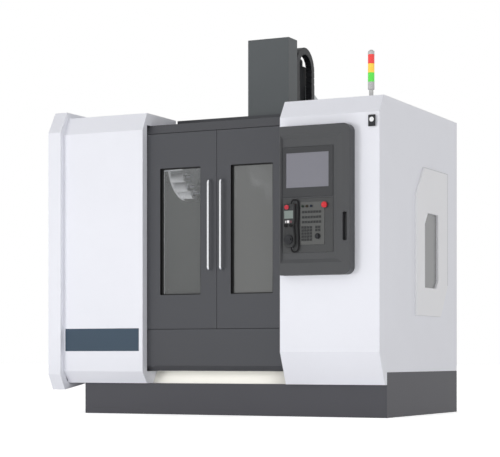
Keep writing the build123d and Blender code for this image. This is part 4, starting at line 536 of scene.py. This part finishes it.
# Tool carousel: painted disc and pots, with the steel noses of the tool holders
carousel_finish = enamel("carousel_finish", srgb(206, 208, 211), roughness=0.4, grain=200, depth=0.1)
noses_low = (-0.536, -1, 1.3)
noses_high = (-0.4, 0.5, 2.4)
paint_place(
    carousel_finish,
    noses_low,
    noses_high,
    machined_grey,
    Roughness=0.2,
    Metallic=1,
)

# Which finish each material slot of the record gets, and the nodes that have one of their own
finishes = {
    "white_enamel": white_enamel,
    "charcoal_enamel": charcoal_enamel,
    "plinth_enamel": plinth_enamel,
    "cream_enamel": cream_enamel,
    "casting_enamel": casting_enamel,
    "ground_iron": ground_iron,
    "ground_steel": ground_steel,
    "stainless_cover": stainless_cover,
    "chromed_bar": chromed_bar,
    "safety_glass": safety_glass,
    "grey_glass": grey_glass,
    "motor_black": motor_black,
    "black_plastic": black_plastic,
    "console_plastic": console_plastic,
    "screen_bezel": screen_bezel,
    "red_plastic": red_plastic,
    "green_plastic": start_cap,
    "amber_plastic": hold_cap,
    "blue_plastic": coolant_cap,
    "signal_lens": signal_lens,
    "pale_plastic": pale_plastic,
    "cable_rubber": cable_rubber,
    "bellows_cloth": bellows_cloth,
    "cabinet_enamel": cabinet_enamel,
    "galvanised": galvanised,
}
own_finishes = {
    "left_front_panel": band_enamel,
    "side_window_frame": frame_enamel,
    "left_door": door_enamel,
    "right_door": door_enamel,
    "head_cover": cover_charcoal,
    "rear_splash_walls": splash_grey,
    "operator_panel": panel_plastic,
    "pendant": pendant_plastic,
    "tool_carousel": carousel_finish,
}
for part in frame["record"]["subparts"]:
    mesh = nodes[part["node"]].data
    mesh.materials.clear()
    mesh.materials.append(own_finishes.get(part["node"], finishes[part["material_slot"]]))


def add_object(name, data):
    """A new object in the scene."""
    item = bpy.data.objects.new(name, data)
    bpy.context.scene.collection.objects.link(item)
    return item


def add_mesh(name, mesh, body, material):
    """A new piece of the machine on one of its bodies."""
    piece = add_object(name, mesh)
    mesh.materials.append(material)
    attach(piece, body)
    return piece


def mesh_of(work, name):
    """The mesh of a finished bmesh, with its faces turned outwards."""
    bmesh.ops.recalc_face_normals(work, faces=work.faces)
    mesh = bpy.data.meshes.new(name)
    work.to_mesh(mesh)
    work.free()
    return mesh


def bellows_mesh():
    """Way-cover bellows: a curtain of pleats from side to side, closed to a body behind."""
    low, high = bellows_low, bellows_high
    folds = 18
    fold_depth = 0.014
    rows = 2 * folds + 1
    columns = 24
    work = bmesh.new()
    grid = []
    for row in range(rows):
        height = low.z + (high.z - low.z) * row / (rows - 1)
        front = low.y + (0 if row % 2 else fold_depth)
        line = []
        for column in range(columns + 1):
            across = low.x + (high.x - low.x) * column / columns
            line.append(work.verts.new((across, front, height)))
        grid.append(line)
    for lower, upper in zip(grid, grid[1:]):
        for column in range(columns):
            work.faces.new((lower[column], lower[column + 1], upper[column + 1], upper[column]))
    outline = [edge for edge in work.edges if edge.is_boundary]
    back = bmesh.ops.extrude_edge_only(work, edges=outline)
    for vert in (item for item in back["geom"] if isinstance(item, bmesh.types.BMVert)):
        vert.co.y = high.y
    bmesh.ops.holes_fill(work, edges=[edge for edge in work.edges if edge.is_boundary])
    return mesh_of(work, "folded_way_cover")


bellows = add_mesh("folded_way_cover", bellows_mesh(), "frame", bellows_cloth)
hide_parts("z_way_cover")
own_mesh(bellows)


def marker_plate_mesh(low, high, corner, thickness):
    """A thin upright plate with rounded corners, its front edge softened."""
    corner_steps = 6
    work = bmesh.new()
    outline = []
    for centre_x, centre_z, first_turn in (
        (high.x - corner, high.z - corner, 0),
        (low.x + corner, high.z - corner, 90),
        (low.x + corner, low.z + corner, 180),
        (high.x - corner, low.z + corner, 270),
    ):
        for step in range(corner_steps + 1):
            turn = math.radians(first_turn + 90 * step / corner_steps)
            place = (centre_x + corner * math.cos(turn), low.y, centre_z + corner * math.sin(turn))
            outline.append(work.verts.new(place))
    back = work.faces.new(outline)
    pushed = bmesh.ops.extrude_face_region(work, geom=[back])
    front = [item for item in pushed["geom"] if isinstance(item, bmesh.types.BMVert)]
    bmesh.ops.translate(work, verts=front, vec=(0, -thickness, 0))
    rim = [edge for edge in work.edges if all(vert in front for vert in edge.verts)]
    bmesh.ops.bevel(work, geom=rim, offset=thickness / 3, segments=2, affect="EDGES")
    return mesh_of(work, "marker_plate")


# Marker plate on the right column: a bare dark plate with a plain pale disc
plate_low = Vector((1.186, right_panel_face, 1.892))
plate_high = Vector((1.236, right_panel_face, 1.967))
plate_corner = 0.004
plate_thickness = 0.0015
disc_centre = (1.210, right_panel_face - plate_thickness, 1.937)
disc_radius = 0.0155
marker_finish = enamel("marker_finish", srgb(46, 47, 50), roughness=0.4, grain=600, edge=0.0005)
marker_mesh = marker_plate_mesh(plate_low, plate_high, plate_corner, plate_thickness)
marker_plate = add_mesh("marker_plate", marker_mesh, "frame", marker_finish)
disc_place = marker_finish.node_tree.nodes.new("ShaderNodeTexCoord")
disc_reach = marker_finish.node_tree.nodes.new("ShaderNodeVectorMath")
disc_reach.operation = "DISTANCE"
disc_reach.inputs[1].default_value = disc_centre
disc_inside = marker_finish.node_tree.nodes.new("ShaderNodeMath")
disc_inside.operation = "LESS_THAN"
disc_inside.inputs[1].default_value = disc_radius
marker_finish.node_tree.links.new(disc_place.outputs["Object"], disc_reach.inputs[0])
marker_finish.node_tree.links.new(disc_reach.outputs["Value"], disc_inside.inputs[0])
paint_where(marker_finish, disc_inside.outputs["Value"], srgb(244, 245, 247))

# Pendant's lead: the points of its route, out of the pendant's top and back in at its foot
cable_points = [
    (0.674, -1.260, 1.405),
    (0.674, -1.260, 1.431),
    (0.718, -1.254, 1.431),
    (0.721, -1.248, 1.383),
    (0.722, -1.248, 1.327),
    (0.716, -1.248, 1.275),
    (0.719, -1.248, 1.220),
    (0.723, -1.248, 1.167),
    (0.721, -1.252, 1.092),
    (0.674, -1.260, 1.086),
    (0.674, -1.260, 1.120),
]
cable_diameter = 0.010
cable_curve = bpy.data.curves.new("pendant_lead", "CURVE")
cable_curve.dimensions = "3D"
cable_curve.resolution_u = 12
cable_curve.bevel_depth = cable_diameter / 2
cable_curve.bevel_resolution = 5
route = cable_curve.splines.new("NURBS")
route.points.add(len(cable_points) - 1)
for point, place in zip(route.points, cable_points):
    point.co = (*place, 1)
route.order_u = 3
route.use_endpoint_u = True
cable_curve.materials.append(cable_rubber)
pendant_lead = add_object("pendant_lead", cable_curve)
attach(pendant_lead, "console")
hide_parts("pendant_cable")

# Camera at the photograph's angle: level, low, to the machine's right
image_width = 500
image_height = 457
focal_pixels = 1645.76
horizon_row = 356.92
camera_place = (5.166, -11.092, 0.400)
camera_turn = 25.995
camera_data = bpy.data.cameras.new("photo_camera")
camera_data.sensor_width = 36
camera_data.lens = focal_pixels * camera_data.sensor_width / image_width
camera_data.shift_y = (horizon_row - image_height / 2) / image_width
camera_data.clip_end = 200
camera = add_object("photo_camera", camera_data)
camera.location = camera_place
camera.rotation_euler = (math.radians(90), 0, math.radians(camera_turn))
bpy.context.scene.camera = camera


def any_ray(tree, *kinds):
    """1 for the named kinds of ray and 0 for every other one."""
    rays = tree.nodes.new("ShaderNodeLightPath")
    seen = rays.outputs[kinds[0]]
    for kind in kinds[1:]:
        either = tree.nodes.new("ShaderNodeMath")
        either.operation = "MAXIMUM"
        tree.links.new(seen, either.inputs[0])
        tree.links.new(rays.outputs[kind], either.inputs[1])
        seen = either.outputs["Value"]
    return seen


# Pale floor, seen as plain white
floor_reach = 60
floor_glow_strength = 0.62
floor_corners = [(x * floor_reach, y * floor_reach, 0) for x, y in ((-1, -1), (1, -1), (1, 1), (-1, 1))]
floor_mesh = bpy.data.meshes.new("studio_floor")
floor_mesh.from_pydata(floor_corners, [], [(0, 1, 2, 3)])
studio_floor = add_object("studio_floor", floor_mesh)
floor_material, floor_shader = new_material("floor_paper", 0.9)
floor_shader.inputs["Base Color"].default_value = srgb(250, 250, 250)
floor_tree = floor_material.node_tree
floor_glow = floor_tree.nodes.new("ShaderNodeMath")
floor_glow.operation = "MULTIPLY"
floor_glow.inputs[1].default_value = floor_glow_strength
floor_paper = floor_tree.nodes.new("ShaderNodeEmission")
floor_sum = floor_tree.nodes.new("ShaderNodeAddShader")
floor_output = floor_tree.nodes["Material Output"]
floor_seen = any_ray(floor_tree, "Is Camera Ray", "Is Glossy Ray")
floor_tree.links.new(floor_seen, floor_glow.inputs[0])
floor_tree.links.new(floor_glow.outputs["Value"], floor_paper.inputs["Strength"])
floor_tree.links.new(floor_shader.outputs["BSDF"], floor_sum.inputs[0])
floor_tree.links.new(floor_paper.outputs["Emission"], floor_sum.inputs[1])
floor_tree.links.new(floor_sum.outputs["Shader"], floor_output.inputs["Surface"])
floor_mesh.materials.append(floor_material)

# World: soft light that fades from the horizon to the zenith, and plain white where it is seen
horizon_strength = 1.0
zenith_strength = 0.22
world = bpy.data.worlds.new("studio")
world.use_nodes = True
bpy.context.scene.world = world
sky_tree = world.node_tree
sky_tree.nodes.clear()
sky_place = sky_tree.nodes.new("ShaderNodeTexCoord")
sky_split = sky_tree.nodes.new("ShaderNodeSeparateXYZ")
sky_fade = sky_tree.nodes.new("ShaderNodeMapRange")
sky_fade.inputs["To Min"].default_value = horizon_strength
sky_fade.inputs["To Max"].default_value = zenith_strength
sky_light = sky_tree.nodes.new("ShaderNodeBackground")
sky_light.inputs["Color"].default_value = (1, 1, 1, 1)
sky_seen = sky_tree.nodes.new("ShaderNodeBackground")
sky_seen.inputs["Color"].default_value = (1, 1, 1, 1)
sky_mix = sky_tree.nodes.new("ShaderNodeMixShader")
sky_output = sky_tree.nodes.new("ShaderNodeOutputWorld")
sky_rays = any_ray(sky_tree, "Is Camera Ray", "Is Transmission Ray", "Is Glossy Ray")
sky_tree.links.new(sky_place.outputs["Generated"], sky_split.inputs["Vector"])
sky_tree.links.new(sky_split.outputs["Z"], sky_fade.inputs["Value"])
sky_tree.links.new(sky_fade.outputs["Result"], sky_light.inputs["Strength"])
sky_tree.links.new(sky_rays, sky_mix.inputs["Fac"])
sky_tree.links.new(sky_light.outputs["Background"], sky_mix.inputs[1])
sky_tree.links.new(sky_seen.outputs["Background"], sky_mix.inputs[2])
sky_tree.links.new(sky_mix.outputs["Shader"], sky_output.inputs["Surface"])


def soft_lamp(name, place, target, size, power):
    """A rectangular lamp aimed at a point, seen neither directly nor in reflections."""
    lamp = bpy.data.lights.new(name, "AREA")
    lamp.shape = "RECTANGLE"
    lamp.size, lamp.size_y = size
    lamp.energy = power
    holder = add_object(name, lamp)
    holder.location = place
    holder.rotation_euler = (Vector(target) - Vector(place)).to_track_quat("-Z", "Y").to_euler()
    holder.visible_camera = False
    holder.visible_glossy = False


soft_lamp("key_lamp", (-6.0, -15.0, 0.9), (0, -1, 1.0), size=(4.0, 1.6), power=430)
soft_lamp("low_fill", (0.5, -8.0, 0.42), (0, -1.1, 0.35), size=(7.0, 0.2), power=50)
soft_lamp("floor_bounce", (0.3, -3.4, 0.03), (0.3, -3.4, 1.0), size=(5.0, 3.0), power=26)
soft_lamp("side_fill", (9.0, -3.0, 1.4), (1.27, 0, 1.2), size=(4.0, 2.4), power=30)
soft_lamp("skirt_light", (-0.02, -1.03, 0.292), (-0.02, -0.95, 0.25), size=(0.9, 0.02), power=0.26)
soft_lamp("work_light", (-0.3, -0.78, 1.05), (-0.6, -0.25, 1.75), size=(0.4, 0.25), power=5)

bpy.context.scene.view_settings.view_transform = "Standard"
